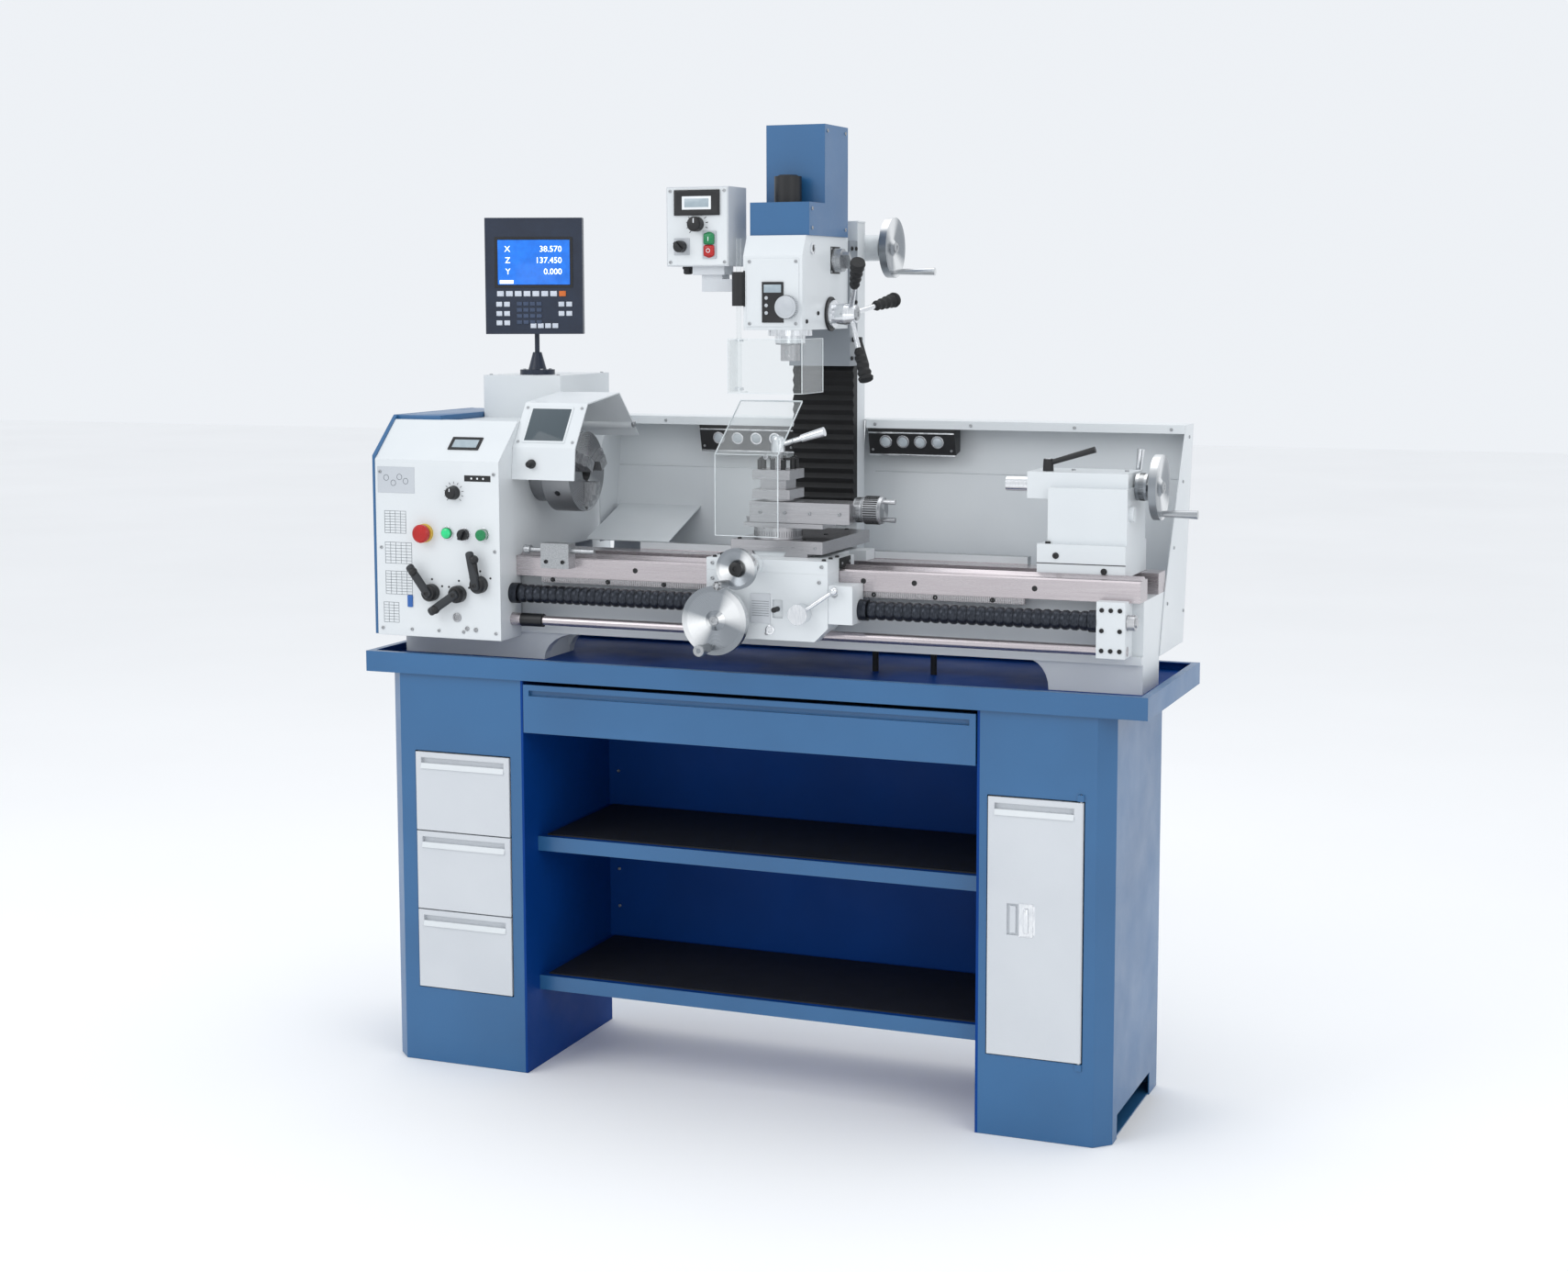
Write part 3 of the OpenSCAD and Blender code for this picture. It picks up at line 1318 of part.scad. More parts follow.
// Tailstock: base on the ways, neck and barrel with the bores of quill and wheel
module tailstock_body() {
    face = tail_y1 - tail_step;
    nut = barrel_x1 - 2 * stem;
    color(white) difference() {
        union() {
            bar(tail_x0, tail_x1, tail_y0, tail_y1, bed_top + fit, bed_top + tail_base_h);
            bar(tail_x0 + tail_neck_in, tail_x1, tail_y0 + tail_step, face, bed_top + tail_base_h - over,
                spindle_z);
            bar(barrel_x0, barrel_x1, spindle_y - barrel_half, spindle_y + barrel_half,
                spindle_z - barrel_drop, barrel_top);
        }
        vee_cut(tail_x0 - over, tail_x1 + over);
        rod_x(barrel_x0 - over, nut, spindle_y, spindle_z, quill_d / 2 + slip);
        rod_x(nut - over, tail_x1 + over, spindle_y, spindle_z, shaft_r + slip);
        rod_z(lock_x, lock_y, barrel_top - lock_h / 2, barrel_top + over, stem_r + slip);
        rod_y(clamp_x, face - stem, face + over, clamp_z, stem_r + slip);
    }
    color(steel) rod_x(tail_x1 - over, tail_x1 + edge * 3, tail_y0 + tail_y_in, clamp_z + clamp_r, cap_r);
}

module tailstock_quill() color(bright) difference() {
    x0 = barrel_x0 - quill_out;
    rod_x(x0, x0 + quill_len, spindle_y, spindle_z, quill_d / 2);
    translate([x0 - over, spindle_y, spindle_z]) rotate([0, 90, 0])
        cylinder(h = taper_len + over, r1 = taper_r0, r2 = taper_r1);
}

// A wheel on an X shaft, its grip pointing away from the machine
module wheel_side(x, y, z, r, t, angle, grip) color(bright) {
    turned_x(x, y, z, [[0, r * 0.3], [t * 0.3, r * 0.8], [0, r * 0.84], [0, r], [t, r], [t, r * 0.84],
        [t * 0.7, r * 0.3], [t, r * 0.18]]);
    translate([x + t * 0.7, y + r * 0.8 * sin(angle), z + r * 0.8 * cos(angle)]) rotate([0, 90, 0])
        cylinder(h = grip + t * 0.3, r1 = grip_r * 0.7, r2 = grip_r);
}
module tailstock_handwheel() {
    x = barrel_x1 + tail_dial;
    color(bright) {
        rod_x(tail_x1 + fit, x, spindle_y, spindle_z, tail_dial_r);
        rod_x(barrel_x1 - stem, x + tail_wheel_gap + tail_wheel_t / 2, spindle_y, spindle_z, shaft_r);
    }
    wheel_side(x + tail_wheel_gap, spindle_y, spindle_z, tail_wheel_d / 2, tail_wheel_t, 185, tail_grip);
}

module quill_lock_lever() color(dark) translate([lock_x, lock_y, barrel_top]) {
    translate([0, 0, fit - lock_h / 2]) cylinder(h = lock_h, r = stem_r);
    translate([0, 0, fit]) cylinder(h = lock_h, r1 = lock_r, r2 = lock_r * 0.9);
    translate([0, 0, lock_h * 0.65]) rotate([0, 90 - lock_tilt, 0])
        cylinder(h = lock_arm, r1 = lock_arm_r * 0.8, r2 = lock_arm_r);
}

module tailstock_clamp_lever() color(bright) translate([clamp_x, tail_y1 - tail_step, clamp_z]) {
    rotate([-90, 0, 0]) {
        translate([0, 0, fit - stem]) cylinder(h = stem + over, r = stem_r);
        translate([0, 0, fit]) cylinder(h = hub_h, r = clamp_hub_r);
    }
    translate([0, fit + hub_h / 2, 0]) rotate([0, clamp_lean, 0]) {
        cylinder(h = clamp_arm, r = clamp_r * 0.6);
        translate([0, 0, clamp_arm * 0.5]) cylinder(h = clamp_arm * 0.5, r1 = clamp_r * 0.7, r2 = clamp_r);
    }
}

// Mill column: flange with its dovetail, hollow back, bracket behind the bed and the lifting gearbox
module mill_column() {
    b0 = mill_x - back_w / 2;
    b1 = mill_x + back_w / 2;
    w = column_wall;
    top = bed_top + rail_up - rail_h - fit;
    color(white) difference() {
        union() {
            bar(column_x0, column_x1, column_y, column_y + column_t, column_z0, column_top);
            bar(b0, b1, column_y + column_t - over, column_y1, column_z0, column_top);
            along_x([[bed_back(column_z0), column_z0], [way_y1, bed_top - way_h], [way_y1, top],
                [column_y + over, top], [column_y + over, column_z0]], column_x0, column_x1);
            translate([mill_x, column_y, bellows_z0]) linear_extrude(column_top - bellows_z0)
                mirror([0, 1]) polygon(dovetail(vdove_w, vdove_in, vdove_h));
        }
        bar(b0 + w, b1 - w, column_y + column_t, column_y1 - w, column_z0 - over, column_top - w);
        bar(column_x0 + w, column_x1 - w, way_y1 + w, column_y - w, column_z0 - over, top - w);
        rod_x(b1 - w - over, b1 + over, height_y, height_z, shaft_r + slip);
    }
    color(steel) difference() {
        rod_x(b1, height_x - height_hub, height_y, height_z, gearbox_r);
        rod_x(b1 - over, height_x, height_y, height_z, shaft_r + slip);
    }
}

// Folding bellows over the column's dovetail, below the head's slide
module column_bellows() color(dark) difference() {
    z1 = slide_z0 - fit;
    pitch = (z1 - bellows_z0) / fold_n;
    y0 = column_y - bellows_d;
    y1 = column_y - fit;
    along_x(concat([[y1, bellows_z0], [y0 + fold_d, bellows_z0]],
        [for (i = [0:fold_n - 1]) each [[y0, bellows_z0 + (i + 0.5) * pitch],
            [y0 + fold_d, bellows_z0 + (i + 1) * pitch]]], [[y1, z1]]), column_x0, column_x1);
    bar(mill_x - vdove_w / 2 - fit, mill_x + vdove_w / 2 + fit, column_y - vdove_h - fit, column_y,
        bellows_z0 - over, z1 + over);
}

module height_handwheel() {
    color(bright) {
        rod_x(mill_x + back_w / 2 - column_wall, height_x + height_t / 2, height_y, height_z, shaft_r);
        rod_x(height_x - height_hub + fit, height_x + height_t / 2, height_y, height_z, height_hub);
    }
    wheel_side(height_x, height_y, height_z, height_wheel_d / 2, height_t, 175, height_grip);
}

// Slide on the column's dovetail, with its clamp lever; the head tilts on it
module head_slide() {
    color("#8d9298") difference() {
        bar(column_x0, column_x1, slide_y0, column_y - fit, slide_z0, slide_z1);
        translate([mill_x, column_y, slide_z0 - over]) linear_extrude(slide_h + 2 * over)
            mirror([0, 1]) polygon(dovetail(vdove_w, vdove_in, vdove_h, fit, over));
        rod_y(mill_x, slide_y0 - over, slide_y0 + tilt_in + fit, tilt_z, tilt_r + slip);
    }
    color(dark) translate([column_x1 - over, slide_y0 + handle_in, slide_z0 + handle_up]) {
        rotate([0, 90, 0]) cylinder(h = hub_h, r = stem_r);
        translate([hub_h - stem_r, 0, 0]) rotate([0, 165, 0]) cylinder(h = arm_len, r1 = stem_r,
            r2 = tip_r * 0.8);
    }
}

// Head casting with its bores, nose ring, readout plate and the clasp for the guard's rod
module mill_head() {
    z = mill_z0 + clasp_up;
    color(white) difference() {
        union() {
            along_x([[mill_y0, mill_z0], [mill_y0, mill_z1 - break_h], [mill_y0 + break_in, mill_z1],
                [mill_y1, mill_z1], [mill_y1, mill_z0]], mill_x0, mill_x1);
            rod_y(mill_x, mill_y1 - over, slide_y0 + tilt_in, tilt_z, tilt_r);
            rod_z(mill_x, mspindle_y, mill_z0 - nose_h, mill_z0 + over, nose_r);
            rod_z(guard_rod_x, guard_rod_y, z, z + clasp_h, clasp_r);
        }
        rod_z(mill_x, mspindle_y, mill_z0 - nose_h - over, mill_z0 + mquill_up + fit, mquill_r + slip);
        rod_x(mill_x1 - stem, mill_x1 + over, star_y, star_z, shaft_r + slip);
        rod_x(mill_x1 - stem, mill_x1 + over, range_y, range_z, stem_r + slip);
        rod_y(fine_x, mill_y0 - over, mill_y0 + stem, fine_z, stem_r + slip);
        rod_z(guard_rod_x, guard_rod_y, z - over, z + clasp_h + over, guard_rod_r + slip);
    }
    color(dark) bar(mill_x - readout_dx, mill_x - readout_dx + readout_w, mill_y0 - plate_t, mill_y0 + over,
        mill_z0 + readout_up, mill_z0 + readout_up + readout_h);
}

// Stepped motor cover with the drawbar's cap in front of its tall part
module motor_cover() {
    z1 = mill_z1 + low_h;
    z2 = mill_z1 + motor_h;
    x0 = mill_x0 + cover_out;
    x1 = mill_x1 + cover_out;
    t = panel_t;
    color(blue) difference() {
        union() {
            bar(x0, x1, mill_y0 + low_in, motor_y1, mill_z1, z1);
            bar(x0, x1, tall_y0, motor_y1, mill_z1, z2);
        }
        bar(x0 + t, mill_x1 - t, mill_y0 + low_in + t, tall_y0, mill_z1 - over, z1 - t);
        bar(x0 + t, mill_x1 - t, tall_y0 + t, motor_y1 - t, mill_z1 - over, z2 - t);
    }
    color(dark) rod_z(mill_x, tall_y0 - motor_cap_r - edge, z1 - over, z1 + motor_cap_h, motor_cap_r);
}

module milling_quill() color(bright) difference() {
    z0 = mill_z0 - nose_h - mquill_out;
    rod_z(mill_x, mspindle_y, z0, mill_z0 + mquill_up, mquill_r);
    rod_z(mill_x, mspindle_y, z0 - over, mill_z0 + mquill_up + over, mspindle_r + slip);
}

module milling_spindle() color(steel) difference() {
    z0 = mill_z0 - nose_h - mquill_out - mspindle_out;
    union() {
        rod_z(mill_x, mspindle_y, z0, mill_z0 + mquill_up, mspindle_r);
        rod_z(mill_x, mspindle_y, z0, z0 + mspindle_out - fit, mspindle_r * 1.35);
    }
    translate([mill_x, mspindle_y, z0 - over]) cylinder(h = taper_len + over, r1 = collet_r0, r2 = collet_r1);
}

// Quill feed hub with its arms and ribbed grips
module quill_feed_handle() {
    r = star_grip_r;
    h = star_grip;
    color(bright) {
        rod_x(mill_x1 - stem + fit, mill_x1 + star_ring, star_y, star_z, shaft_r);
        turned_x(mill_x1 + fit, star_y, star_z, [[0, star_ring_r], [star_ring, star_ring_r],
            [star_ring, star_hub_r * 0.9], [star_hub * 0.6, star_hub_r], [star_hub, star_hub_r * 0.8]]);
    }
    for (i = [0:star_n - 1]) translate([mill_x1 + star_hub * 0.75, star_y, star_z])
        rotate([star_turn + i * 360 / star_n, 0, 0]) rotate([0, star_cone, 0]) {
            color(bright) cylinder(h = star_reach - h / 2, r = star_arm_r);
            color(dark) translate([0, 0, star_reach - h]) rotate_extrude() polygon(concat([[0, 0]],
                [for (k = [0:3]) each [[r * (0.5 + 0.08 * k), h * 0.22 * k],
                    [r * (0.68 + 0.08 * k), h * (0.22 * k + 0.1)]]],
                [[r * 0.75, h * 0.86], [r, h * 0.92], [r * 0.9, h], [0, h]]));
        }
}

// Range selector with its wing grip, and the round knob of the fine feed
module range_knob() color(bright) {
    x = mill_x1 + fit;
    rod_x(x - stem, x + over, range_y, range_z, stem_r);
    turned_x(x, range_y, range_z, [[0, range_r], [range_out * 0.5, range_r * 0.96]]);
    translate([x + range_out * 0.5 - over, range_y, range_z]) rotate([45, 0, 0])
        bar(0, range_out * 0.5, -wing_t / 2, wing_t / 2, -range_r * 0.8, range_r * 0.8);
}
module fine_feed_knob() color(bright) {
    rod_y(fine_x, mill_y0 - fine_out / 2, mill_y0 + stem - fit, fine_z, stem_r);
    turned_y(fine_x, mill_y0 - plate_t - fit, fine_z, [[0, fine_r], [fine_out, fine_r * 0.96]]);
}

// Clear three-sided guard hanging on its rod
module mill_guard() {
    x0 = mill_x - pane_left;
    x1 = mill_x + pane_right;
    y1 = guard_rod_y + clasp_r;
    t = pane_t;
    color(bright) rod_z(guard_rod_x, guard_rod_y, pane_z0, mill_z0 + guard_rod_up, guard_rod_r);
    color(clear) {
        bar(x0, x1, pane_y0, pane_y0 + t, pane_z0, pane_z1);
        bar(x1 - t, x1, pane_y0, mill_y0 + pane_back, pane_z0, pane_z1);
        bar(x0, x0 + t, pane_y0, y1, pane_z0, pane_z1);
        for (z = [pane_z0, pane_z1 - t]) bar(x0, guard_rod_x + clasp_r, pane_y0, y1, z, z + t);
    }
}

// Switch box of the mill on its elbow bracket
module control_box() {
    px = cbox_x0 + elbow_in;
    cx = cbox_x0 + cbox_w / 2;
    y = cbox_y0 - screen_t;
    color(pale) {
        bar(cbox_x0, cbox_x1, cbox_y0, cbox_y0 + cbox_d, cbox_z0, cbox_z1);
        bar(px - shelf_h, px + elbow_w + shelf_h / 2, elbow_y - shelf_h / 2, elbow_y + elbow_d,
            cbox_z0 - shelf_h, cbox_z0 + over);
        bar(px, px + elbow_w, elbow_y, elbow_y + elbow_d, cbox_z0 - elbow_drop, cbox_z0);
        bar(px, mill_x0, elbow_y, elbow_y + elbow_d, cbox_z0 - elbow_drop, cbox_z0 - elbow_drop + elbow_h);
    }
    color(dark) {
        bar(cx - screen_w / 2, cx + screen_w / 2, y, cbox_y0 + over, cbox_z1 - screen_h - 2 * screen_t,
            cbox_z1 - 2 * screen_t);
        rod_y(cx, cbox_y0 - knob_h, cbox_y0 + over, cbox_z0 + cbox_h * 0.53, knob_r);
        rod_y(cx - cbox_w / 4, cbox_y0 - knob_h, cbox_y0 + over, cbox_z0 + cbox_h / 4, button_r);
    }
    color(green) rod_y(cx + cbox_w / 5, y, cbox_y0 + over, cbox_z0 + cbox_h * 0.36, button_r);
    color(red) rod_y(cx + cbox_w / 5, y, cbox_y0 + over, cbox_z0 + cbox_h * 0.18, button_r);
}

at() left_pedestal();
at() right_pedestal();
at() chip_tray();
at() shelf_unit();
at() wide_drawer();
at() small_drawer_1();
at() small_drawer_2();
at() small_drawer_3();
at() cabinet_door();
at() lathe_bed();
at() headstock();
at() control_panel();
at() end_cover();
at() splash_guard();
at() emergency_stop();
at() speed_knob();
at() start_button();
at() gear_lever_1();
at() gear_lever_2();
at() gear_lever_3();
at() display_unit();
at() lathe_spindle();
at() chuck_jaw_1();
at() chuck_jaw_2();
at() chuck_jaw_3();
at() chuck_guard();
at() leadscrew();
at() feed_rod();
at() screw_cover_left();
at() screw_cover_right();
at() carriage_saddle();
at() apron();
at() carriage_handwheel();
at() feed_lever();
at() cross_slide();
at() cross_handwheel();
at() swivel_base();
at() top_slide();
at() top_slide_handwheel();
at() tool_post();
at() tool_post_lever();
at() chip_shield();
at() tailstock_body();
at() tailstock_quill();
at() tailstock_handwheel();
at() quill_lock_lever();
at() tailstock_clamp_lever();
at() mill_column();
at() column_bellows();
at() height_handwheel();
at() head_slide();
at() mill_head();
at() motor_cover();
at() milling_quill();
at() milling_spindle();
at() quill_feed_handle();
at() range_knob();
at() fine_feed_knob();
at() mill_guard();
at() control_box();
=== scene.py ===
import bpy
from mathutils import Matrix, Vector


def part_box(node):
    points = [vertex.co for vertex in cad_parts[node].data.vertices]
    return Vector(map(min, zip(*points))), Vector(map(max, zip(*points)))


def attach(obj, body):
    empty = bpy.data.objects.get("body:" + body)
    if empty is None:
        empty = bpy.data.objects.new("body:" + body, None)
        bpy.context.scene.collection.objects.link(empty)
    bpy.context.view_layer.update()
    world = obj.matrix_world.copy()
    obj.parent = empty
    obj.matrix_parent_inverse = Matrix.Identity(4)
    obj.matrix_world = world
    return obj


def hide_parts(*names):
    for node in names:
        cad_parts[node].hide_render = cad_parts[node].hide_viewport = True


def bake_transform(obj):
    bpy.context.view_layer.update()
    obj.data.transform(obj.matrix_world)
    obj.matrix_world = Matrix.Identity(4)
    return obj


bl_info = {
    "name": "Combination lathe mill",
    "version": (1, 0, 0),
    "blender": (4, 5, 0),
    "location": "View3D > Sidebar > Lathe Mill",
    "description": "Dresses the packed combination lathe mill and sets the stage round it",
    "category": "Object",
}

import math

import bpy
from bpy.props import FloatProperty, FloatVectorProperty, PointerProperty
from mathutils import Matrix, Vector

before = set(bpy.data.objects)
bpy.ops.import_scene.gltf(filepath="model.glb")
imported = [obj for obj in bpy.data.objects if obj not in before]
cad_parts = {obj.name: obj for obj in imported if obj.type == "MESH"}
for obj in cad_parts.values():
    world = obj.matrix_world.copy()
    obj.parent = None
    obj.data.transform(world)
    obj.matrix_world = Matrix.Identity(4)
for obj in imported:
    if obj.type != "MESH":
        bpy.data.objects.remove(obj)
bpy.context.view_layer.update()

# The middle of the whole machine in the stand's own measures, in mm
MIDDLE = Vector((20.25, 215.0, 0.0))
# Four screws round a flange, as angles in radians
QUARTERS = (0.8, 2.35, 3.9, 5.5)
# Edges that meet at less than this angle are shaded smooth, in degrees
SMOOTH_ANGLE = 35.0
X_AXIS = (1, 0, 0)
Y_AXIS = (0, 1, 0)
Z_AXIS = (0, 0, 1)
FRONT = (0, -1, 0)

# Stand and bed, in mm: x from the tray's middle, y from its front edge, z from the floor
PANEL_Y = 22.0
HEAD_RIGHT = -499.0
SPINDLE_Y = 205.0
SPINDLE_Z = 1185.0
CHUCK_FACE = -400.0
MILL_X = 41.0
MILL_FRONT = 110.0
MILL_Z0 = 1469.0
MILL_SIDE = 101.0


def place(x, y, z):
    """A point of the stand's own measures in mm, in the frame's metres."""
    return (Vector((x, y, z)) - MIDDLE) / 1000


def colour(code):
    """An sRGB hex code as a linear colour."""
    channels = [int(code[i:i + 2], 16) / 255 for i in (1, 3, 5)]
    linear = [c / 12.92 if c <= 0.04045 else ((c + 0.055) / 1.055) ** 2.4 for c in channels]
    return (*linear, 1.0)


def tone(code):
    """A linear colour from a hex code, or from the colours' property of that name."""
    if code.startswith("#"):
        return colour(code)
    return tuple(getattr(bpy.context.scene.lathe_mill_colours, code))


def trim_size(key):
    """A size of the trim's properties, in mm."""
    return getattr(bpy.context.scene.lathe_mill_trim, key) * 1000


def add(tree, kind, settings=None, inputs=None):
    """Adds a node, sets its settings, and sets or links its inputs."""
    node = tree.nodes.new(kind)
    for key, value in (settings or {}).items():
        setattr(node, key, value)
    for key, value in (inputs or {}).items():
        if isinstance(value, bpy.types.NodeSocket):
            tree.links.new(value, node.inputs[key])
        else:
            node.inputs[key].default_value = value
    return node


def new_material(name):
    """An empty node material with its tree, object coordinates and output."""
    material = bpy.data.materials.new(name)
    material.use_nodes = True
    tree = material.node_tree
    tree.nodes.clear()
    coords = add(tree, "ShaderNodeTexCoord")
    output = add(tree, "ShaderNodeOutputMaterial")
    return material, tree, coords.outputs["Object"], output


def noise(tree, coords, per_metre, stretch=(1, 1, 1), detail=3.0):
    """Noise at a scale given in spots to the metre."""
    mapped = add(tree, "ShaderNodeMapping", {}, {"Vector": coords, "Scale": stretch})
    found = add(tree, "ShaderNodeTexNoise", {}, {
        "Vector": mapped.outputs[0], "Scale": per_metre, "Detail": detail, "Roughness": 0.55})
    return found.outputs["Fac"]


def ramp(tree, value, low, high, dark, light):
    """A value spread between two colours."""
    node = add(tree, "ShaderNodeValToRGB", {}, {"Fac": value})
    node.color_ramp.elements[0].position = low
    node.color_ramp.elements[0].color = dark
    node.color_ramp.elements[1].position = high
    node.color_ramp.elements[1].color = light
    return node.outputs["Color"]


def grey(level):
    """A neutral linear colour."""
    return (level, level, level, 1.0)


def relief(tree, height, depth, edge=0.0012):
    """Bump of a depth in metres over edges that read as slightly rounded."""
    rounded = add(tree, "ShaderNodeBevel", {"samples": 4}, {"Radius": edge})
    bump = add(tree, "ShaderNodeBump", {}, {
        "Strength": 1.0, "Distance": depth, "Height": height, "Normal": rounded.outputs[0]})
    return bump.outputs[0]


def enamel(tree, coords, code, shade, roughness=0.32, peel=0.00012, coat=0.25):
    """Baked enamel on sheet or casting: an even gloss over fine orange peel, a little uneven in tone."""
    broad = noise(tree, coords, 3.0)
    tint = ramp(tree, broad, 0.3, 0.75, tone(shade), tone(code))
    dull = ramp(tree, noise(tree, coords, 9.0, detail=5.0), 0.3, 0.7, grey(roughness - 0.05),
        grey(roughness + 0.08))
    normal = relief(tree, noise(tree, coords, 420.0, detail=2.0), peel)
    return add(tree, "ShaderNodeBsdfPrincipled", {}, {
        "Base Color": tint, "Roughness": dull, "Normal": normal, "Coat Weight": coat,
        "Coat Roughness": 0.2, "Specular IOR Level": 0.5 if coat else 0.15}).outputs[0]


def machined(tree, coords, code, shade, stretch, roughness=0.3, depth=0.00002, per_metre=420.0):
    """Cut or ground metal: streaks along the cut, drawn coarser than real so that they show."""
    streaks = noise(tree, coords, per_metre, stretch, detail=4.0)
    tint = ramp(tree, streaks, 0.25, 0.8, tone(shade), tone(code))
    dull = ramp(tree, streaks, 0.2, 0.8, grey(roughness + 0.12), grey(roughness - 0.06))
    return add(tree, "ShaderNodeBsdfPrincipled", {}, {
        "Base Color": tint, "Metallic": 0.85, "Roughness": dull,
        "Normal": relief(tree, streaks, depth, 0.0007)}).outputs[0]


def moulded(tree, coords, code, shade, roughness=0.45, grain=0.0001):
    """Moulded plastic or rubber: fine grain from the mould, dust in the dull spots."""
    fine = noise(tree, coords, 900.0, detail=2.0)
    tint = ramp(tree, noise(tree, coords, 25.0), 0.3, 0.8, tone(shade), tone(code))
    dull = ramp(tree, fine, 0.3, 0.7, grey(roughness - 0.06), grey(roughness + 0.1))
    return add(tree, "ShaderNodeBsdfPrincipled", {}, {
        "Base Color": tint, "Roughness": dull, "Normal": relief(tree, fine, grain, 0.0008)}).outputs[0]


def inside(tree, coords, low, high):
    """1 where a surface lies in the box between two corners, in mm, and 0 elsewhere."""
    a = place(*low)
    b = place(*high)
    middle = (a + b) / 2
    half = (b - a) / 2
    offset = add(tree, "ShaderNodeVectorMath", {"operation": "SUBTRACT"}, {0: coords, 1: middle})
    size = add(tree, "ShaderNodeVectorMath", {"operation": "ABSOLUTE"}, {0: offset.outputs[0]})
    left = add(tree, "ShaderNodeVectorMath", {"operation": "SUBTRACT"}, {0: half, 1: size.outputs[0]})
    parts = add(tree, "ShaderNodeSeparateXYZ", {}, {0: left.outputs[0]})
    low_xy = add(tree, "ShaderNodeMath", {"operation": "MINIMUM"}, {0: parts.outputs[0], 1: parts.outputs[1]})
    low_all = add(tree, "ShaderNodeMath", {"operation": "MINIMUM"}, {0: low_xy.outputs[0],
        1: parts.outputs[2]})
    return add(tree, "ShaderNodeMath", {"operation": "GREATER_THAN"}, {0: low_all.outputs[0],
        1: 0.0}).outputs[0]


def over_boxes(tree, coords, under, upper, boxes):
    """Puts the upper finish over the lower one wherever a surface lies in one of the boxes."""
    mask = None
    for low, high in boxes:
        found = inside(tree, coords, low, high)
        if mask is None:
            mask = found
        else:
            mask = add(tree, "ShaderNodeMath", {"operation": "MAXIMUM"}, {0: mask, 1: found}).outputs[0]
    return add(tree, "ShaderNodeMixShader", {}, {0: mask, 1: under, 2: upper}).outputs[0]


# Baked enamels, each as its light and dark tone, its roughness, its orange peel and its clear coat
ENAMELS = {
    # Stand, covers and motor: the machine's strong blue, half glossy
    "blue enamel": ("blue", "blue_shade", 0.36),
    # The same enamel inside bays and tray, darkened there as painted shade
    "deep blue enamel": ("painted_shade_blue", "painted_shade_blue_dark", 0.55, 0.00012, 0.0),
    # Flat plates, a little darker than the casting under them
    "label enamel": ("#c3c8cd", "#b9bec4", 0.45),
    # Castings and guards: cool white with a soft gloss
    "white enamel": ("white", "white_shade", 0.34),
    # Drawer fronts and door: light grey that sets them off from the blue
    "pale enamel": ("pale", "pale_shade", 0.36),
    # The mill's slide: dull middle grey behind the white head
    "grey enamel": ("#8f959b", "#7d848b", 0.42),
}
# Metals, each as its light and dark tone, the stretch of its cutting marks and its roughness
METALS = {
    # Slides and tool post: flat grey sheen with streaks along the grinding
    "ground steel": ("#bbbabc", "#a6a5a8", (0.04, 1, 1), 0.28),
    # Bed ways: brighter and warmer, streaked along the bed
    "way steel": ("#cac3c5", "#b9b1b4", (0.03, 1, 1), 0.24),
    # Spring covers of the leadscrew: near black with a hard glint
    "blued steel": ("#43474f", "#23262c", (1, 0.3, 0.3), 0.3),
    # Chuck and screws: streaks along the turning; on the chuck and dial its light and dark fan round the axis
    # as a painted reflection
    "turned steel": ("#bfc0c2", "#8c8e91", (1, 0.3, 0.3), 0.3),
    # Handwheels: bright rims whose dark tone fans round the axis as a painted reflection
    "polished aluminium": ("#eceded", "#8d9297", (0.25, 1, 1), 0.2),
    # Levers and quills: mirror-like highlights
    "chromed steel": ("#f2f3f4", "#d2d5d9", (1, 1, 0.2), 0.12),
    # Screws, nuts and small knobs: soft silver
    "zinc steel": ("#c6c8ca", "#8e9194", (1, 1, 1), 0.3),
}
# Moulded plastics and rubbers, each as its light and dark tone and its roughness
PLASTICS = {
    # Knobs, bezels and sockets: deep black with a satin edge light
    "black plastic": ("black", "black_shade", 0.42),
    # Number keys: slate, just lighter than the display's frame
    "dark key plastic": ("#3c4b66", "#314058", 0.4),
    # Shelf mats, bellows and grips: black without gloss
    "black rubber": ("#17181a", "#0d0e10", 0.62),
    # Stop buttons: glossy signal red
    "red plastic": ("#c8211f", "#a81816", 0.25),
    # Ring behind the emergency stop
    "yellow plastic": ("#dcb63e", "#c7a233", 0.35),
    # Start buttons: glossy green
    "green plastic": ("#1f8f57", "#157445", 0.25),
    # Printed rules of plates and tables
    "grey lines": ("#6d747b", "#5d646b", 0.5),
    # Small keys and switch frames
    "grey plastic": ("#c5c9cd", "#b2b7bc", 0.4),
    # Pointer lines and marks on black knobs
    "white plastic": ("#f0f2f3", "#e2e6e9", 0.35),
    # The display's case: dark navy with a dull sheen
    "dark frame plastic": ("#1c2a3f", "#152034", 0.38),
    # The display's pale keys
    "key plastic": ("#d7dde6", "#c3cad6", 0.4),
    # The jog button's blue
    "blue key plastic": ("#2f68b4", "#23569c", 0.35),
    # Gear lever arms: black worn to charcoal
    "lever plastic": ("#2d3135", "#24272b", 0.45),
    # Pale opaque strips on the clear sheets' edges: a painted highlight where the edges gather the light
    "polished edge": ("#f2f6f7", "#dbe3e6", 0.2),
    # The display's one orange key
    "orange plastic": ("#e0752a", "#c9611c", 0.35),
}
